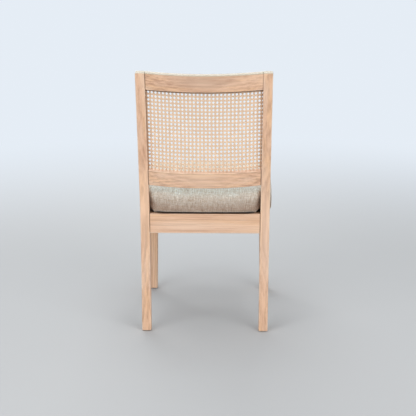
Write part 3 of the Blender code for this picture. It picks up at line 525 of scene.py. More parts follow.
def lay_strand(bm, ribbon, tones, shade_layer, line, tone):
    """Adds one strand along a line of (across, along, behind) points. Ends outside the sheet are cut."""
    low, high = SHEET_LOW - TUCK, SHEET_HIGH + TUCK
    line = [(across, along + across * SHEET_SKEW, behind) for across, along, behind in line]
    kept = [p for p in line if low <= p[1] <= high and abs(p[0]) <= sheet_half_width(p[1])]
    if len(kept) < 3:
        return
    last = len(kept) - 1
    run = Vector(kept[last][:2]) - Vector(kept[0][:2])
    sideways = Vector((-run.y, run.x)).normalized() * STRAND_WIDTH / 2
    for vert in bmesh.ops.create_grid(bm, x_segments=2, y_segments=last, size=1)["verts"]:
        step, side = round((vert.co.y + 1) / 2 * last), round(vert.co.x)
        across, along, behind = kept[step]
        vert.co = bow_place(across + side * sideways.x, along + side * sideways.y, behind)
        vert[tones] = tone
        vert[shade_layer] = painted_cane_shade_at(across, along)
        place = ((side + 1) / 2 * STRAND_WIDTH, step / last * run.length)
        for loop in vert.link_loops:
            loop[ribbon].uv = place


def strand_run(crossings, pitch, first_over):
    """Places along a strand and its rise there, past each crossing pair and half way to the next one."""
    rise = STRAND_THICKNESS / 2 if first_over else -STRAND_THICKNESS / 2
    steps = (
        (-SHOULDER, SHOULDER_RISE),
        (-PAIR_HALF_STEP, 1),
        (PAIR_HALF_STEP, -1),
        (SHOULDER, -SHOULDER_RISE),
        (pitch / 2, 0),
    )
    return [(crossing + step, share * rise) for crossing in crossings for step, share in steps]


def cane_material(name):
    """Split rattan bark: a hard pale skin with fine fibres along each strand. Painted shade darkens its
    rear.
    """
    material, tree = new_material(name, Coat_Weight=0.12, Coat_Roughness=0.35)
    ribbon = add_node(tree, "UVMap", {"uv_map": "ribbon"}).outputs["UV"]
    tone = marked(tree, "tone")
    shifted = vector_maths("ADD", ribbon, add_node(tree, "CombineXYZ", Z=tone).outputs["Vector"])
    fibres = fade(cloud(shifted, (3800, 45, 31), 3.0, 0.6), 0.3, 0.7)
    blotches = fade(cloud(shifted, (180, 9, 17)), 0.35, 0.75)
    share = times_plus(fibres, 0.30, times(blotches, 0.25))
    share = times_plus(tone, 0.35, share)
    colour = blend(share, CANE_PALE, CANE_DEEP)
    facing = parts_of(add_node(tree, "NewGeometry").outputs["Normal"])["Y"]
    cane_shade = times(marked(tree, "cane_shade"), fade(facing, -0.2, 0.2, 0.0, 0.86))
    colour = blend(cane_shade, colour, JOINT_STAIN_AND_SHADE)
    lay_finish(colour, fibres, 0.00006, 0.5, times_plus(fibres, 0.2, 0.36))
    return material


def give_wall(piece, thickness, offset):
    wall = piece.modifiers.new("wall", "SOLIDIFY")
    wall.thickness, wall.offset = thickness, offset


cane_chance = np.random.default_rng(17)


def add_strands(name, lines):
    """One set of strands as one piece."""
    bm = bmesh.new()
    ribbon = bm.loops.layers.uv.new("ribbon")
    tones = bm.verts.layers.float.new("tone")
    shade_layer = bm.verts.layers.float.new("cane_shade")
    for line in lines:
        lay_strand(bm, ribbon, tones, shade_layer, line, float(cane_chance.random()))
    piece = add_piece(name, bm, cane_material("cane_of_" + name), "cane_panel", math.pi)
    give_wall(piece, STRAND_THICKNESS, 0)


def pair_middles(count, pitch, first):
    """Middles of the pairs, which lie half a pitch before and after the middles of the holes."""
    return [first + (i - 0.5) * pitch for i in range(count + 1)]


column_first = SHEET_SHIFT - (COLUMNS - 1) / 2 * COLUMN_PITCH
column_pairs = pair_middles(COLUMNS, COLUMN_PITCH, column_first)
row_pairs = pair_middles(ROWS + 1, ROW_PITCH, FIRST_ROW)

uprights, levels = [], []
for middle in column_pairs:
    for side in (-1, 1):
        across = middle + side * PAIR_HALF_STEP
        line = [(across, along, rise) for along, rise in strand_run(row_pairs, ROW_PITCH, side > 0)]
        uprights.append([(across, SHEET_LOW - TUCK, 0.0), *line])
for middle in row_pairs:
    for side in (-1, 1):
        along = middle + side * PAIR_HALF_STEP
        edge = sheet_half_width(along) - 0.0001
        run = strand_run(column_pairs, COLUMN_PITCH, side < 0)[:-1]
        line = [(across, along, -rise) for across, rise in run if abs(across) < edge]
        levels.append([(-edge, along, 0.0), *line, (edge, along, 0.0)])
# The last level pair lies fully in the painted shadow of the crest rail, as the dark line beneath it.
for side in (-1, 1):
    along = EDGE_PAIR + side * PAIR_HALF_STEP
    places = np.linspace(-EDGE_PAIR_REACH, EDGE_PAIR_REACH, EDGE_PAIR_POINTS)
    levels.append([(across, along, -2 * STRAND_THICKNESS) for across in places])


def slanting_lines(slope):
    """Strands that cross the level pairs and the upright pairs half way between their crossings.

    The ones that rise to the right pass behind the level pairs and before the upright ones.
    """
    first_hole = column_first if slope > 0 else column_first + (COLUMNS - 1) * COLUMN_PITCH
    lines = []
    for start in range(-ROWS - 2, COLUMNS + 3):
        line = []
        for half in range(2 * (ROWS + 2)):
            for share, rise in SLANT_PROFILE:
                steps = (half + share) / 2
                across = first_hole + slope * (start + steps) * COLUMN_PITCH
                along = FIRST_ROW + (steps - 0.5) * ROW_PITCH
                behind = (rise if half % 2 == 0 else -rise) * STRAND_THICKNESS
                line.append((across, along, -slope * behind))
        lines.append(line)
    return lines


add_strands("cane_upright_strands", uprights)
add_strands("cane_level_strands", levels)
add_strands("cane_rising_strands", slanting_lines(1))
add_strands("cane_falling_strands", slanting_lines(-1))

# Beads
# Thin strips of the frame's wood, glued into the rebate over the edges of the cane. The top and bottom
# ones are bent to the bow, and the two side ones run down the posts.

for node, along, start, pith in (
    ("cane_bead_top", "X", 18.0, (0.21, 0.86)),
    ("cane_bead_bottom", "X", 19.4, (0.16, 0.58)),
    ("cane_bead_left", "Z", 20.8, (0.25, 0.12)),
    ("cane_bead_right", "Z", 22.1, (-0.25, 0.12)),
):
    looks = {"Ring_Width": 0.005, "Figure": 0.01}
    wash_node(node, wood_material("washed_" + node, along, start, pith, **looks))

# Upholstered seat
# Foam on a plywood board, under tweed that is pulled down over the sides and tacked beneath. The foam
# pushes the cloth out between the drawn-in corners, which a cloth simulation does here.

COVER_LOW = 0.3978
PAD_VOXEL, PAD_EASE, PAD_SWELL = 0.006, 0.005, 0.004
PAD_PRESSURE, PAD_PINNED = 4, 0.403
COVER_WALL, FOAM_DEPTH = 0.0016, 0.0026
FOLD_WIDTH = 0.021
SEAT_SIDE = ((-0.2775, 0.2240), (0.0156, 0.2238), (0.1404, 0.2173))
SEAT_FRONT = ((0.0, -0.2815), (0.2245, -0.2775))
SEAT_BACK = ((0.0, 0.1856), (0.1787, 0.1816))
NOTCH_X, NOTCH_Y = 0.1787, 0.1404
BACK_CORNER, POST_REACH = 0.034, 0.0030
CORNER_POWER = ((0.430, 2.0), (0.450, 4.2))
SNUG_HEIGHTS, SNUG_DEPTHS = (0.438, 0.450), (NOTCH_Y, NOTCH_Y + 0.012)
POST_SIDE = 0.1819
CORNER_STUFFING = ((0.446, 0.0), (0.456, 0.0040), (0.468, 0.0100), (0.475, 0.0130), (0.484, 0.0))
STUFFED_WIDTHS, STUFFED_DEPTHS = (0, 0.018), (NOTCH_Y, NOTCH_Y + 0.006)
SIDE_PULL = ((-0.2775, 0.0005), (0.0156, 0.0024), (0.1404, 0.0042))
PULLED_SIDE = (0.185, 0.215)
PLEATS = (((0.1845, -0.2375), (1, -1)), ((0.2075, 0.1264), (1, 1)))
PLEAT_DEPTH, PLEAT_WIDTH, PLEAT_END = 0.0042, 0.0032, (0.476, 0.456)
HEM_ROLL, HEM_LIFT = 0.020, 0.0044
CORNER_REACH, CORNER_ROLL, CORNER_LIFT = 0.050, 0.034, 0.0105
BOARD_INSET = 0.0128
FOAM_PALE, FOAM_AGED, FOAM_PORE_SHADE = (0.82, 0.76, 0.56, 1), (0.74, 0.62, 0.36, 1), (0.60, 0.52, 0.34, 1)


def as_shown(piece):
    return piece.evaluated_get(bpy.context.evaluated_depsgraph_get())


def only(kind, parts):
    return [part for part in parts if isinstance(part, kind)]


def applied(piece, kind, **settings):
    """Gives a loose object a modifier and makes its result the object's mesh."""
    modifier = piece.modifiers.new(kind.lower(), kind)
    for name, value in settings.items():
        setattr(modifier, name, value)
    made = bpy.data.meshes.new_from_object(as_shown(piece))
    piece.modifiers.clear()
    piece.data = made


def swell(piece, limit):
    """Blows a closed pad up like cloth, with its base held, and keeps each point near its start."""
    base = piece.vertex_groups.new(name="base")
    base.add([v.index for v in piece.data.vertices if v.co.z < PAD_PINNED], 1.0, "REPLACE")
    start = np.empty(len(piece.data.vertices) * 3)
    piece.data.vertices.foreach_get("co", start)
    cloth = piece.modifiers.new("stuffing", "CLOTH")
    settings = cloth.settings
    settings.vertex_group_mass = "base"
    settings.use_pressure = True
    settings.uniform_pressure_force = PAD_PRESSURE
    settings.effector_weights.gravity = 0
    cloth.collision_settings.use_collision = False
    cloth.point_cache.frame_start, cloth.point_cache.frame_end = 1, 20
    for step in range(1, 21):
        scene.frame_set(step)
    result = as_shown(piece).to_mesh()
    end = np.empty_like(start)
    result.vertices.foreach_get("co", end)
    piece.modifiers.clear()
    piece.vertex_groups.clear()
    scene.frame_set(1)
    moved = (end - start).reshape(-1, 3)
    far = np.maximum(np.linalg.norm(moved, axis=1, keepdims=True), 1e-9)
    kept = start.reshape(-1, 3) + moved / far * limit * np.tanh(far / limit)
    piece.data.vertices.foreach_set("co", kept.ravel())


def read_off(profile, place):
    """The height of a profile of (place, height) points at a place."""
    return np.interp(place, *zip(*profile))


def seat_edges(x, y):
    """Where the sides, the front and the back of the seat lie, level with a point of it."""
    side = np.where(y > NOTCH_Y, NOTCH_X, read_off(SEAT_SIDE, y))
    back = np.where(abs(x) > NOTCH_X, NOTCH_Y, read_off(SEAT_BACK, abs(x)))
    return side, read_off(SEAT_FRONT, abs(x)), back


bm = merged_copy("seat_foam")
foam_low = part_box("seat_foam")[0].z
for vert in bm.verts:
    if vert.co.z < foam_low + 0.0005:
        vert.co.z = COVER_LOW
pad = add_object("pad", mesh_from(bm, "pad"))
applied(pad, "REMESH", mode="VOXEL", voxel_size=PAD_VOXEL)
applied(pad, "DISPLACE", strength=PAD_EASE, mid_level=0.0)
swell(pad, PAD_SWELL)
applied(pad, "SUBSURF", levels=1, render_levels=1)
pad_surface = bmesh.new()
pad_surface.from_mesh(pad.data)
bpy.data.objects.remove(pad)
bmesh.ops.smooth_vert(
    pad_surface, verts=pad_surface.verts[:], factor=0.5, use_axis_x=True, use_axis_y=True, use_axis_z=True
)


def square_corner(across, back, y, z):
    """How far a point of a rear corner moves sideways and rearwards. The top is squarer, and it leans
    against the post."""
    power = read_off(CORNER_POWER, z)
    full = math.hypot(across, back) / (across**power + back**power) ** (1 / power) - 1
    snug = POST_REACH * part_way(z, *SNUG_HEIGHTS) * part_way(y, *SNUG_DEPTHS)
    return across * full + snug * part_way(across, 0, BACK_CORNER), back * full


def stuffed_side(wide, across, y, z):
    """The half width of a rear corner near its top, where the foam fills it out to the post's side."""
    stuffing = read_off(CORNER_STUFFING, z)
    stuffing *= part_way(across, *STUFFED_WIDTHS) * part_way(y, *STUFFED_DEPTHS)
    return min(POST_SIDE, wide + stuffing)


for vert in pad_surface.verts:
    x, y, z = vert.co
    across, back = abs(x) - NOTCH_X + BACK_CORNER, y - SEAT_BACK[1][1] + BACK_CORNER
    if across > 0 and back > 0:
        sideways, rearwards = square_corner(across, back, y, z)
        vert.co.x += math.copysign(sideways, x)
        vert.co.y += rearwards
    if across > 0 and abs(vert.co.x) < POST_SIDE and y > NOTCH_Y:
        vert.co.x = math.copysign(stuffed_side(abs(vert.co.x), across, y, z), x)
    if y < NOTCH_Y:
        vert.co.x -= math.copysign(read_off(SIDE_PULL, y) * part_way(abs(x), *PULLED_SIDE), x)


def press_pleats(bm):
    """Presses a pleat in at each front corner and before each rear leg, with the cloth raised beside it."""
    for (x, y), (to_x, to_y) in PLEATS:
        for hand in (1, -1):
            centre = Vector((hand * x, y, 0))
            outwards = Vector((hand * to_x, to_y, 0)).normalized()
            sideways = Vector((-outwards.y, outwards.x, 0))
            for vert in bm.verts:
                offset = vert.co - centre
                if offset.dot(outwards) > 0 and vert.co.z > COVER_LOW + 0.001:
                    beside = abs(offset.dot(sideways)) / PLEAT_WIDTH
                    share = math.exp(-(beside**2)) - 0.3 * math.exp(-((beside - 2.4) ** 2))
                    vert.co -= outwards * PLEAT_DEPTH * share * part_way(vert.co.z, *PLEAT_END)


bm = pad_surface.copy()
bm.normal_update()
for vert in bm.verts:
    vert.co -= vert.normal * FOAM_DEPTH
press_pleats(bm)
cut = bmesh.ops.bisect_plane(
    bm,
    geom=bm.verts[:] + bm.edges[:] + bm.faces[:],
    plane_co=(0, 0, foam_low + 0.0001),
    plane_no=DOWN,
    clear_outer=True,
)["geom_cut"]
bmesh.ops.edgeloop_fill(bm, edges=only(bmesh.types.BMEdge, cut))
material, tree = new_material("open_cell_foam", 0.2, Roughness=0.95)
place = object_place(tree)
cells = add_node(tree, "TexVoronoi", {"feature": "DISTANCE_TO_EDGE"}, Vector=place, Scale=900.0)
pore_depth = fade(cells.outputs["Distance"], 0.0, 0.25)
aged = fade(cloud(place, (14, 14, 14), 3.0), 0.35, 0.7, 0.0, 0.5)
# Painted shade in the pores: darker inside each cell.
colour = blend(pore_depth, blend(aged, FOAM_PALE, FOAM_AGED), FOAM_PORE_SHADE)
lay_finish(colour, pore_depth, 0.0003, 0.7).invert = True
foam = add_piece("foam_pad", bm, material, "seat_foam")

THREAD_PITCH = 0.0019
THREAD_WAVER = ((0.5, 0.9), (2.6, 0.42))
SLUB_RUNS = ((7.31, 1.0), (0.75, 0.36))
WARP_YARNS = (
    (0.0, (0.34, 0.27, 0.21)),
    (0.35, (0.54, 0.465, 0.38)),
    (0.65, (0.65, 0.605, 0.54)),
    (1.0, (0.86, 0.82, 0.735)),
)
WEFT_YARNS = (
    (0.0, (0.39, 0.32, 0.26)),
    (0.4, (0.59, 0.495, 0.40)),
    (0.7, (0.605, 0.58, 0.54)),
    (1.0, (0.80, 0.735, 0.65)),
)
# Painted light and shade on the tweed: a cooler top, cool light on the rear of its top, shade low and
# beneath.
TOP_PAINTED_TINT = (0.97, 1.00, 1.00, 1)
PAINTED_COOL_LIGHT = (1.20, 1.37, 1.46, 1)
SIDE_SHADE_TINT = (0.56, 0.46, 0.41, 1)
UNDERSIDE_SHADE = (0.05, 0.04, 0.035, 1)
TOP_HEIGHTS, COOL_LIGHT_HEIGHTS, COOL_LIGHT_DEPTHS = (0.448, 0.478), (0.444, 0.472), (0.09, 0.15)
SIDE_SHADE_HEIGHTS, HEM_HEIGHTS = (0.400, 0.462), (0.4015, 0.4095)
NEAR_POST, SHELTER_DROP, SIDE_SHADE_DROP = (0.09, 0.14), 0.013, 0.007


def woven_threads_group():
    """Plain weave of round threads, with the warp along Y. Each thread's shade changes on its way."""
    outputs = ("Warp On Top", "Warp Tone", "Weft Tone", "Height")
    given, put_out = new_group("woven_threads", outputs, Place=None, Pitch=0.001, Slubs=120.0)
    threads = counted = vector_maths("DIVIDE", given["Place"], given["Pitch"])
    for scale, amount in THREAD_WAVER:
        counted = wavered(counted, threads, scale, 1.0, (amount, amount, amount))
    counted = parts_of(counted)
    across, along = counted["X"], counted["Y"]
    warp_number, weft_number = maths("FLOOR", across), maths("FLOOR", along)
    warp_side = maths("SUBTRACT", maths("FRACT", across), 0.5)
    weft_side = maths("SUBTRACT", maths("FRACT", along), 0.5)
    on_top = maths("FLOORED_MODULO", maths("ADD", warp_number, weft_number), 2.0)

    def rounded(side, run):
        profile = times_plus(times(side, side), -4.0, 1.0)
        profile = maths("SQRT", maths("MAXIMUM", profile, 0.0))
        arch = maths("COSINE", times(run, math.pi))
        return times(profile, times_plus(arch, 0.5, 0.5))

    weft_height, warp_height = rounded(weft_side, warp_side), rounded(warp_side, weft_side)
    height = times_plus(on_top, maths("SUBTRACT", warp_height, weft_height), weft_height)
    apart = parts_of(given["Place"])
    tones = []
    for number, run, level in ((warp_number, apart["Y"], 3.0), (weft_number, apart["X"], 41.0)):
        shades = []
        for apart_by, slubs in SLUB_RUNS:
            way = times(times(run, slubs), given["Slubs"])
            spot = add_node(tree_of(way), "CombineXYZ", X=times(number, apart_by), Y=way, Z=level)
            shades.append(fade(noise(spot.outputs["Vector"], 1.0, 1.5)[0], 0.33, 0.67))
        tones.append(times_plus(shades[0], 0.45, times(shades[1], 0.55)))
    return close_group(put_out, on_top, *tones, height)


woven_threads = woven_threads_group()


def tweed_material():
    """Tweed of mixed yarns, with painted cool light on its top and rear, and painted shade low and beneath.
    """
    looks = {"Roughness": 0.92, "Sheen_Weight": 0.25, "Sheen_Roughness": 0.5}
    material, tree = new_material("oatmeal_tweed", 0.25, **looks)
    place = add_node(tree, "UVMap", {"uv_map": "cloth"}).outputs["UV"]
    weave = use_group(tree, woven_threads, Place=place, Pitch=THREAD_PITCH, Slubs=90.0)
    tones = []
    for label, yarns in (("Warp Tone", WARP_YARNS), ("Weft Tone", WEFT_YARNS)):
        ramp = add_node(tree, "ValToRGB", Fac=weave[label])
        stops = ramp.color_ramp.elements
        while len(stops) < len(yarns):
            stops.new(0.5)
        for stop, (position, colour) in zip(stops, yarns):
            stop.position, stop.color = position, (*colour, 1)
        tones.append(ramp.outputs["Color"])
    colour = blend(weave["Warp On Top"], tones[1], tones[0])
    # Painted shade between the threads: darker where they dip.
    colour = blend(1.0, colour, fade(weave["Height"], 0.0, 0.55, 0.62, 1.0), "MULTIPLY")
    mottle = fade(cloud(place, (1500, 1500, 1500)), 0.3, 0.7, 0.88, 1.08)
    colour = blend(1.0, colour, mottle, "MULTIPLY")
    apart = parts_of(object_place(tree))
    height, depth = apart["Z"], apart["Y"]
    near_post = fade(maths("ABSOLUTE", apart["X"]), *NEAR_POST)
    sheltered = times_plus(near_post, -SHELTER_DROP, height)
    lowered = times_plus(near_post, -SIDE_SHADE_DROP, height)
    # Painted light: the top is tinted a little cooler.
    on_top = fade(height, *TOP_HEIGHTS)
    # Painted light: the rear of the top is painted lighter and cooler, less close to the posts.
    painted_cool_light = times(fade(sheltered, *COOL_LIGHT_HEIGHTS), fade(depth, *COOL_LIGHT_DEPTHS))
    # Painted shade: darker towards the bottom of the sides, higher up near the posts, half as much at the
    # hem.
    above_hem = fade(height, *HEM_HEIGHTS, 0.5, 1.0)
    painted_side_shade = times(fade(lowered, *SIDE_SHADE_HEIGHTS, 1.0, 0.0), above_hem)
    for share, tint in ((on_top, TOP_PAINTED_TINT), (painted_cool_light, PAINTED_COOL_LIGHT), (painted_side_shade, SIDE_SHADE_TINT)):
        colour = blend(share, colour, tint, "MULTIPLY")
    # Painted shade: faces that look down are darkened almost to black.
    facing = parts_of(add_node(tree, "NewGeometry").outputs["Normal"])["Z"]
    colour = blend(fade(facing, -0.55, -0.9, 0.0, 0.75), colour, UNDERSIDE_SHADE)
    lay_finish(colour, weave["Height"], 0.0004, 0.8)
    return material


bm = pad_surface
for vert in bm.verts:
    if vert.co.z < COVER_LOW + 0.0025:
        vert.co.z = COVER_LOW
press_pleats(bm)
for vert in bm.verts:
    x, y, high = abs(vert.co.x), vert.co.y, vert.co.z - COVER_LOW
    if high < CORNER_ROLL:
        side, front, back = seat_edges(x, y)
        rim = max(0, 1 - max(0, min(side - x, y - front, back - y)) / BOARD_INSET)
        near = min(1, math.hypot(x - NOTCH_X, y - SEAT_BACK[1][1]) / CORNER_REACH)
        lift = HEM_LIFT * max(0, 1 - high / HEM_ROLL)
        lift += CORNER_LIFT * (1 - near**2) ** 2 * (1 - high / CORNER_ROLL)
        vert.co.z += lift * rim
x, y, z = np.array([face.calc_center_median() for face in bm.faces]).T
side, front, back = seat_edges(x, y)
inside = np.minimum(np.minimum(side - abs(x), y - front), back - y)
beneath = (z < COVER_LOW + 0.001) & (inside > FOLD_WIDTH)
bmesh.ops.delete(bm, geom=[face for face, gone in zip(bm.faces[:], beneath) if gone], context="FACES")
bm.normal_update()

# The cloth's run from the top of the seat over its side to the hem, as (distance from the edge, height).
TOP_RUN = ((0.10, 0.486), (0.06, 0.483), (0.035, 0.480), (0.020, 0.4745), (0.010, 0.4655), (0.003, 0.455))
SIDE_RUN = ((0.0, 0.445), (0.0, 0.435), (0.002, 0.420), (0.006, 0.406), (0.009, 0.398))
run = np.array(TOP_RUN + SIDE_RUN)
steps = np.diff(run, axis=0)
lengths = np.linalg.norm(steps, axis=1)
laid_before = np.concatenate([[0], np.cumsum(lengths)])


def cloth_length(edge, place, height):
    """How far along the cloth a point lies, from the middle of the seat over the side to the hem."""
    point = np.stack([edge - place, height], axis=1)[:, None, :] - run[None, :-1, :]
    share = np.clip((point * steps).sum(axis=2) / lengths**2, 0, 1)
    gap = np.linalg.norm(point - share[..., None] * steps, axis=2)
    nearest = gap.argmin(axis=1)
    laid = laid_before[nearest] + share[np.arange(len(share)), nearest] * lengths[nearest]
    flat = edge - place > run[0, 0]
    return np.where(flat, place, edge - run[0, 0] + laid)


x, y, z = np.array([vert.co for vert in bm.verts]).T
side, front, back = seat_edges(x, y)
x_laid = np.sign(x) * cloth_length(side, abs(x), z)
y_laid = np.where(y > -0.05, cloth_length(back, y, z), -cloth_length(-front, -y, z))
bm.verts.index_update()
cloth_map = bm.loops.layers.uv.new("cloth")
for face in bm.faces:
    normal = face.normal
    for loop in face.loops:
        i = loop.vert.index
        u = x[i] if abs(normal.y) > max(abs(normal.x), 0.6) else x_laid[i]
        v = y[i] if abs(normal.x) > max(abs(normal.y), 0.6) else y_laid[i]
        loop[cloth_map].uv = (u, v)

cover = add_piece("seat_tweed_cover", bm, tweed_material(), "seat_cover", math.pi)
give_wall(cover, COVER_WALL, -1)

# Board and dust cover
# A board of birch plywood carries the foam. A thin black cloth is stapled beneath, over the folded edge
# of the tweed.

PLY = 0.012 / 9
BIRCH = {"Pale": (0.66, 0.50, 0.32, 1), "Deep": (0.48, 0.33, 0.19, 1), "Ring_Width": 0.02, "Figure": 0.2}
END_GRAIN = (0.36, 0.235, 0.13, 1)
PLY_GLUE = (0.16, 0.09, 0.05, 1)
CLOTH_BLACK, CLOTH_WORN = (0.012, 0.012, 0.013, 1), (0.030, 0.029, 0.028, 1)


def give_material(node, material):
    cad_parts[node].material_slots[0].material = material


material, tree = new_material("bare_plywood", 0.3, Roughness=0.7)
place = object_place(tree)
grain = use_group(tree, wood_grain, Place=place, Wash_Share=0.0, **BIRCH)
level = maths("DIVIDE", parts_of(place)["Z"], PLY)
crossed = maths("FLOORED_MODULO", maths("FLOOR", level), 2.0)
glue = fade(maths("ABSOLUTE", maths("SUBTRACT", maths("FRACT", level), 0.5)), 0.43, 0.5)
colour = blend(times(crossed, 0.55), grain["Colour"], END_GRAIN)
colour = blend(times(glue, 0.5), colour, PLY_GLUE)
lay_finish(colour, grain["Height"], 0.0002, 0.4)
give_material("seat_board", material)

material, tree = new_material("black_dust_cloth", 0.2, Roughness=0.9)
weave = use_group(tree, woven_threads, Place=object_place(tree), Pitch=0.0008, Slubs=200.0)
colour = blend(weave["Weft Tone"], CLOTH_BLACK, CLOTH_WORN)
lay_finish(colour, weave["Height"], 0.0002, 0.6)
give_material("dust_cover", material)

# Corner blocks and screws
# Unwashed blocks brace the corners of the rails. Zinc plated screws hold them to the rails, and one long
# screw in each goes up into the seat board.

RAW_WOOD = {"Pale": (0.60, 0.42, 0.27, 1), "Deep": (0.42, 0.27, 0.16, 1), "Honey": (0.62, 0.41, 0.24, 1)}
ZINC_DULL, ZINC_BRIGHT = (0.62, 0.61, 0.56, 1), (0.78, 0.77, 0.73, 1)
CORNERS = ("rear_left", "rear_right", "front_left", "front_right")
HEAD_HEIGHT = 0.0028
HEAD_PROFILE = ((0.0026, -0.0028), (0.0031, -0.0026), (0.0037, -0.0021), (0.0040, -0.0014), (0.0040, 0.0))
SHANK_CORE, THREAD_CREST, THREAD_RISE = 0.0015, 0.0020, 0.0018
THREAD_START, THREAD_HALF_WIDTH, THREAD_ROOT = 0.0034, 0.0004, 0.0014
POINT_LENGTH = 0.004
RECESS = ((0.0023, 0), (0.00235, 11), (0.0013, 20.5), (0.00066, 45), (0.0013, 69.5), (0.00235, 79))
RECESS_DEPTH, RECESS_TAPER = 0.0015, 0.75
TURN_STEPS, THREAD_STEPS = 24, 16

for number, corner in enumerate(CORNERS):
    start = 30.1 + number * 1.7
    grain = wood_material("raw_block_" + corner, "Z", start, (0.3, 0.1), Wash_Share=0.1, **RAW_WOOD)
    give_material("corner_block_" + corner, grain)

zinc, tree = new_material("zinc_plate", Metallic=1.0)
spangle = fade(cloud(object_place(tree), (700, 700, 700), 3.0), 0.3, 0.7)
colour = blend(spangle, ZINC_DULL, ZINC_BRIGHT)
lay_finish(colour, spangle, 0.00005, 0.5, times_plus(spangle, 0.2, 0.28))


def spun(bm, profile, steps=TURN_STEPS, turns=1.0, rise=0.0):
    """Spins a line of (radius, height) points round Z, and closes it where it makes one full turn."""
    verts = [bm.verts.new((radius, 0, height)) for radius, height in profile]
    edges = [bm.edges.new(pair) for pair in zip(verts, verts[1:])]
    bmesh.ops.spin(
        bm,
        geom=verts + edges,
        cent=(0, 0, 0),
        axis=UP,
        dvec=(0, 0, rise / steps),
        angle=2 * math.pi * turns,
        steps=round(steps * turns),
        use_merge=turns == 1.0,
    )


def threaded_screw(length):
    """A pan head screw with a cross recess, along Z with its head below zero."""
    bm = bmesh.new()
    shank = ((SHANK_CORE, 0.0), (SHANK_CORE, length - POINT_LENGTH), (0.0, length))
    spun(bm, HEAD_PROFILE + shank)
    merge(bm)
    rim = [edge for edge in bm.edges if edge.is_boundary]
    cross = bmesh.ops.create_circle(bm, segments=TURN_STEPS, radius=0.001)["verts"]
    for vert in cross:
        place = round(math.degrees(math.atan2(vert.co.y, vert.co.x)) / 15) % TURN_STEPS
        radius, angle = RECESS[place % 6]
        angle = math.radians(angle + 90 * (place // 6))
        vert.co = (radius * math.cos(angle), radius * math.sin(angle), -HEAD_HEIGHT)
    lip = list({edge for vert in cross for edge in vert.link_edges})
    bmesh.ops.bridge_loops(bm, edges=rim + lip)
    sunk = bmesh.ops.extrude_edge_only(bm, edges=lip)["geom"]
    for vert in only(bmesh.types.BMVert, sunk):
        vert.co = (vert.co.x * RECESS_TAPER, vert.co.y * RECESS_TAPER, RECESS_DEPTH - HEAD_HEIGHT)
    bmesh.ops.edgeloop_fill(bm, edges=only(bmesh.types.BMEdge, sunk))
    bmesh.ops.recalc_face_normals(bm, faces=bm.faces[:])
    thread_end = THREAD_START + THREAD_HALF_WIDTH
    ridge = (
        (THREAD_ROOT, THREAD_START - THREAD_HALF_WIDTH),
        (THREAD_CREST, THREAD_START),
        (THREAD_ROOT, thread_end),
    )
    turns = math.floor((length - POINT_LENGTH - thread_end) / THREAD_RISE)
    spun(bm, ridge, THREAD_STEPS, float(turns), THREAD_RISE)
    return bm


for kind in ("rail_screw_", "side_screw_", "seat_screw_"):
    for corner in CORNERS:
        node = kind + corner
        low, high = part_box(node)
        direction = {
            "rail_screw_": Vector((0, 1 if "rear" in corner else -1, 0)),
            "side_screw_": Vector((1 if "left" in corner else -1, 0, 0)),
            "seat_screw_": Vector(UP),
        }[kind]
        middle, reach = (low + high) / 2, max(high - low)
        bm = threaded_screw(reach - HEAD_HEIGHT)
        turn = direction.to_track_quat("Z", "Y").to_matrix().to_4x4()
        bmesh.ops.transform(bm, matrix=turn, verts=bm.verts[:])
        bmesh.ops.translate(bm, vec=middle - direction * (reach / 2 - HEAD_HEIGHT), verts=bm.verts[:])
        add_piece(node + "_threaded", bm, zinc, node, math.radians(35))

# Foot glides
# A moulded nylon pad under each foot, with a rounded edge and a sunk middle. A steel nail through it
# holds it in the end grain of the leg, and its face is scuffed from the floor.

PAD_FACE = ((0.0034, 0.0009), (0.0037, 0.0002), (0.0040, 0.0), (0.0084, 0.0), (0.0091, 0.0003))
PAD_PROFILE = ((0.0014, 0.0009), *PAD_FACE, (0.0095, 0.0009), (0.0095, 0.0021), (0.0014, 0.0021))
NAIL_HEAD = ((0.0, 0.0004), (0.0016, 0.0004), (0.0026, 0.0006), (0.0028, 0.0008))
NAIL_PROFILE = (*NAIL_HEAD, (0.0013, 0.00095), (0.0013, 0.0115), (0.0, 0.0140))
GLIDE_STEPS = 32
NYLON, NYLON_SCUFFED = (0.56, 0.53, 0.47, 1), (0.38, 0.35, 0.31, 1)

nylon, tree = new_material("moulded_nylon", 0.45)
scuffs = fade(cloud(object_place(tree), (900, 140, 300), 4.0, 0.6), 0.45, 0.7)
colour = blend(scuffs, NYLON, NYLON_SCUFFED)
lay_finish(colour, scuffs, 0.0001, 0.4, times_plus(scuffs, 0.3, 0.45))

for corner in CORNERS:
    node = "foot_glide_" + corner
    low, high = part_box(node)
    middle = Vector(((low.x + high.x) / 2, (low.y + high.y) / 2, 0))
    for suffix, profile, finish, slot in (
        ("_pad", PAD_PROFILE + PAD_PROFILE[:1], nylon, "nylon"),
        ("_nail", NAIL_PROFILE, zinc, "zinc_plate"),
    ):
        bm = bmesh.new()
        spun(bm, profile, GLIDE_STEPS)
        merge(bm)
        bmesh.ops.recalc_face_normals(bm, faces=bm.faces[:])
        bmesh.ops.translate(bm, vec=middle, verts=bm.verts[:])
        add_piece(node + suffix, bm, finish, node, math.radians(40))

# Floor, light and camera
# A pale floor that fades into a pale backdrop, with soft light from large panels, seen from behind and
# a little above, as in the photograph.

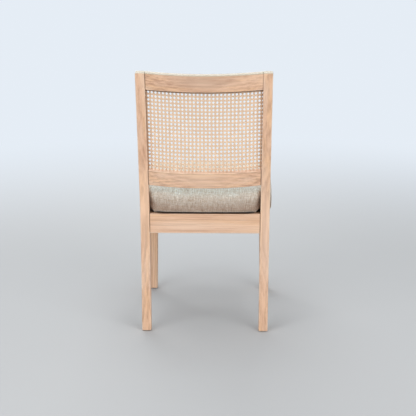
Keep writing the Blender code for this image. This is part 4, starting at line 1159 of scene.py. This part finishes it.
BACKDROP = (0.787, 0.847, 0.916, 1)
FLOOR_TONE = (0.43, 0.435, 0.44, 1)
FLOOR_BOUNCE = (0.52, 0.49, 0.45, 1)
FLOOR_RADIUS = 12.0
FADE_START, FADE_END = 1.0, 3.4
WORLD_LIGHT, WORLD_STRENGTH = (0.96, 0.98, 1.0, 1), 0.55
AIM = Vector((0, 0, 0.45))
PANELS = (
    ("panel_rear_right", (-2.1, 2.9, 2.2), 2.6, 65, (1, 1, 1)),
    ("panel_rear_left", (2.1, 2.9, 2.2), 2.6, 61, (1, 1, 1)),
    ("panel_above", (0.0, 0.4, 3.4), 2.4, 31, (0.92, 0.968, 1.0)),
    ("panel_front", (0.6, -2.8, 2.3), 2.6, 70, (0.96, 0.985, 1.0)),
)
CAMERA_PLACE = Vector((-0.1101, 3.8094, 1.3136))
CAMERA_PITCH, CAMERA_YAW, CAMERA_ROLL = 0.2427, 0.0275, -0.0014
FOCAL_PIXELS, PHOTO_PIXELS, SENSOR = 1144.15, 416, 36.0


def seen_share(tree):
    """1 for what the camera sees, also in gloss and through glass, and 0 for what only gives light."""
    rays = add_node(tree, "LightPath").outputs
    by_gloss = maths("MAXIMUM", rays["Is Camera Ray"], rays["Is Glossy Ray"])
    return maths("MAXIMUM", by_gloss, rays["Is Transmission Ray"])


def mix_shaders(share, first, second, output):
    tree = tree_of(share)
    mixed = add_node(tree, "MixShader", Fac=share)
    connect(first.outputs[0], mixed.inputs[1])
    connect(second.outputs[0], mixed.inputs[2])
    connect(mixed.outputs["Shader"], tree.nodes[output].inputs["Surface"])


bm = bmesh.new()
bmesh.ops.create_circle(bm, cap_ends=True, segments=96, radius=FLOOR_RADIUS)
floor = add_object("floor", mesh_from(bm, "floor"))
material, tree = new_material("pale_floor", 0.2, Roughness=0.8)
shader = tree.nodes["Principled BSDF"]
seen = seen_share(tree)
connect(blend(seen, FLOOR_BOUNCE, FLOOR_TONE), shader.inputs["Base Color"])
distance = vector_maths("LENGTH", object_place(tree))
share = times(fade(distance, FADE_START, FADE_END), seen)
glow = add_node(tree, "Emission", Color=BACKDROP, Strength=1.0)
mix_shaders(share, shader, glow, "Material Output")
floor.data.materials.append(material)

world = bpy.data.worlds.new("soft_studio")
scene.world = world
world.use_nodes = True
tree = world.node_tree
light = tree.nodes["Background"]
light.inputs["Color"].default_value = WORLD_LIGHT
light.inputs["Strength"].default_value = WORLD_STRENGTH
shown = add_node(tree, "Background", Color=BACKDROP, Strength=1.0)
mix_shaders(seen_share(tree), light, shown, "World Output")

for name, place, size, power, colour in PANELS:
    lamp = bpy.data.lights.new(name, "AREA")
    lamp.shape = "SQUARE"
    lamp.size, lamp.energy, lamp.color = size, power, colour
    holder = add_object(name, lamp)
    holder.location = place
    holder.rotation_mode = "QUATERNION"
    holder.rotation_quaternion = (AIM - Vector(place)).to_track_quat("-Z", "Y")

camera_data = bpy.data.cameras.new("camera")
camera_data.sensor_width = SENSOR
camera_data.lens = FOCAL_PIXELS / PHOTO_PIXELS * SENSOR
camera = add_object("camera", camera_data)
scene.camera = camera
reach = math.cos(CAMERA_PITCH)
ahead = Vector((math.sin(CAMERA_YAW) * reach, -math.cos(CAMERA_YAW) * reach, -math.sin(CAMERA_PITCH)))
camera.rotation_mode = "QUATERNION"
camera.rotation_quaternion = ahead.to_track_quat("-Z", "Y") @ Quaternion(UP, CAMERA_ROLL)
camera.location = CAMERA_PLACE

scene.view_settings.view_transform = "Standard"
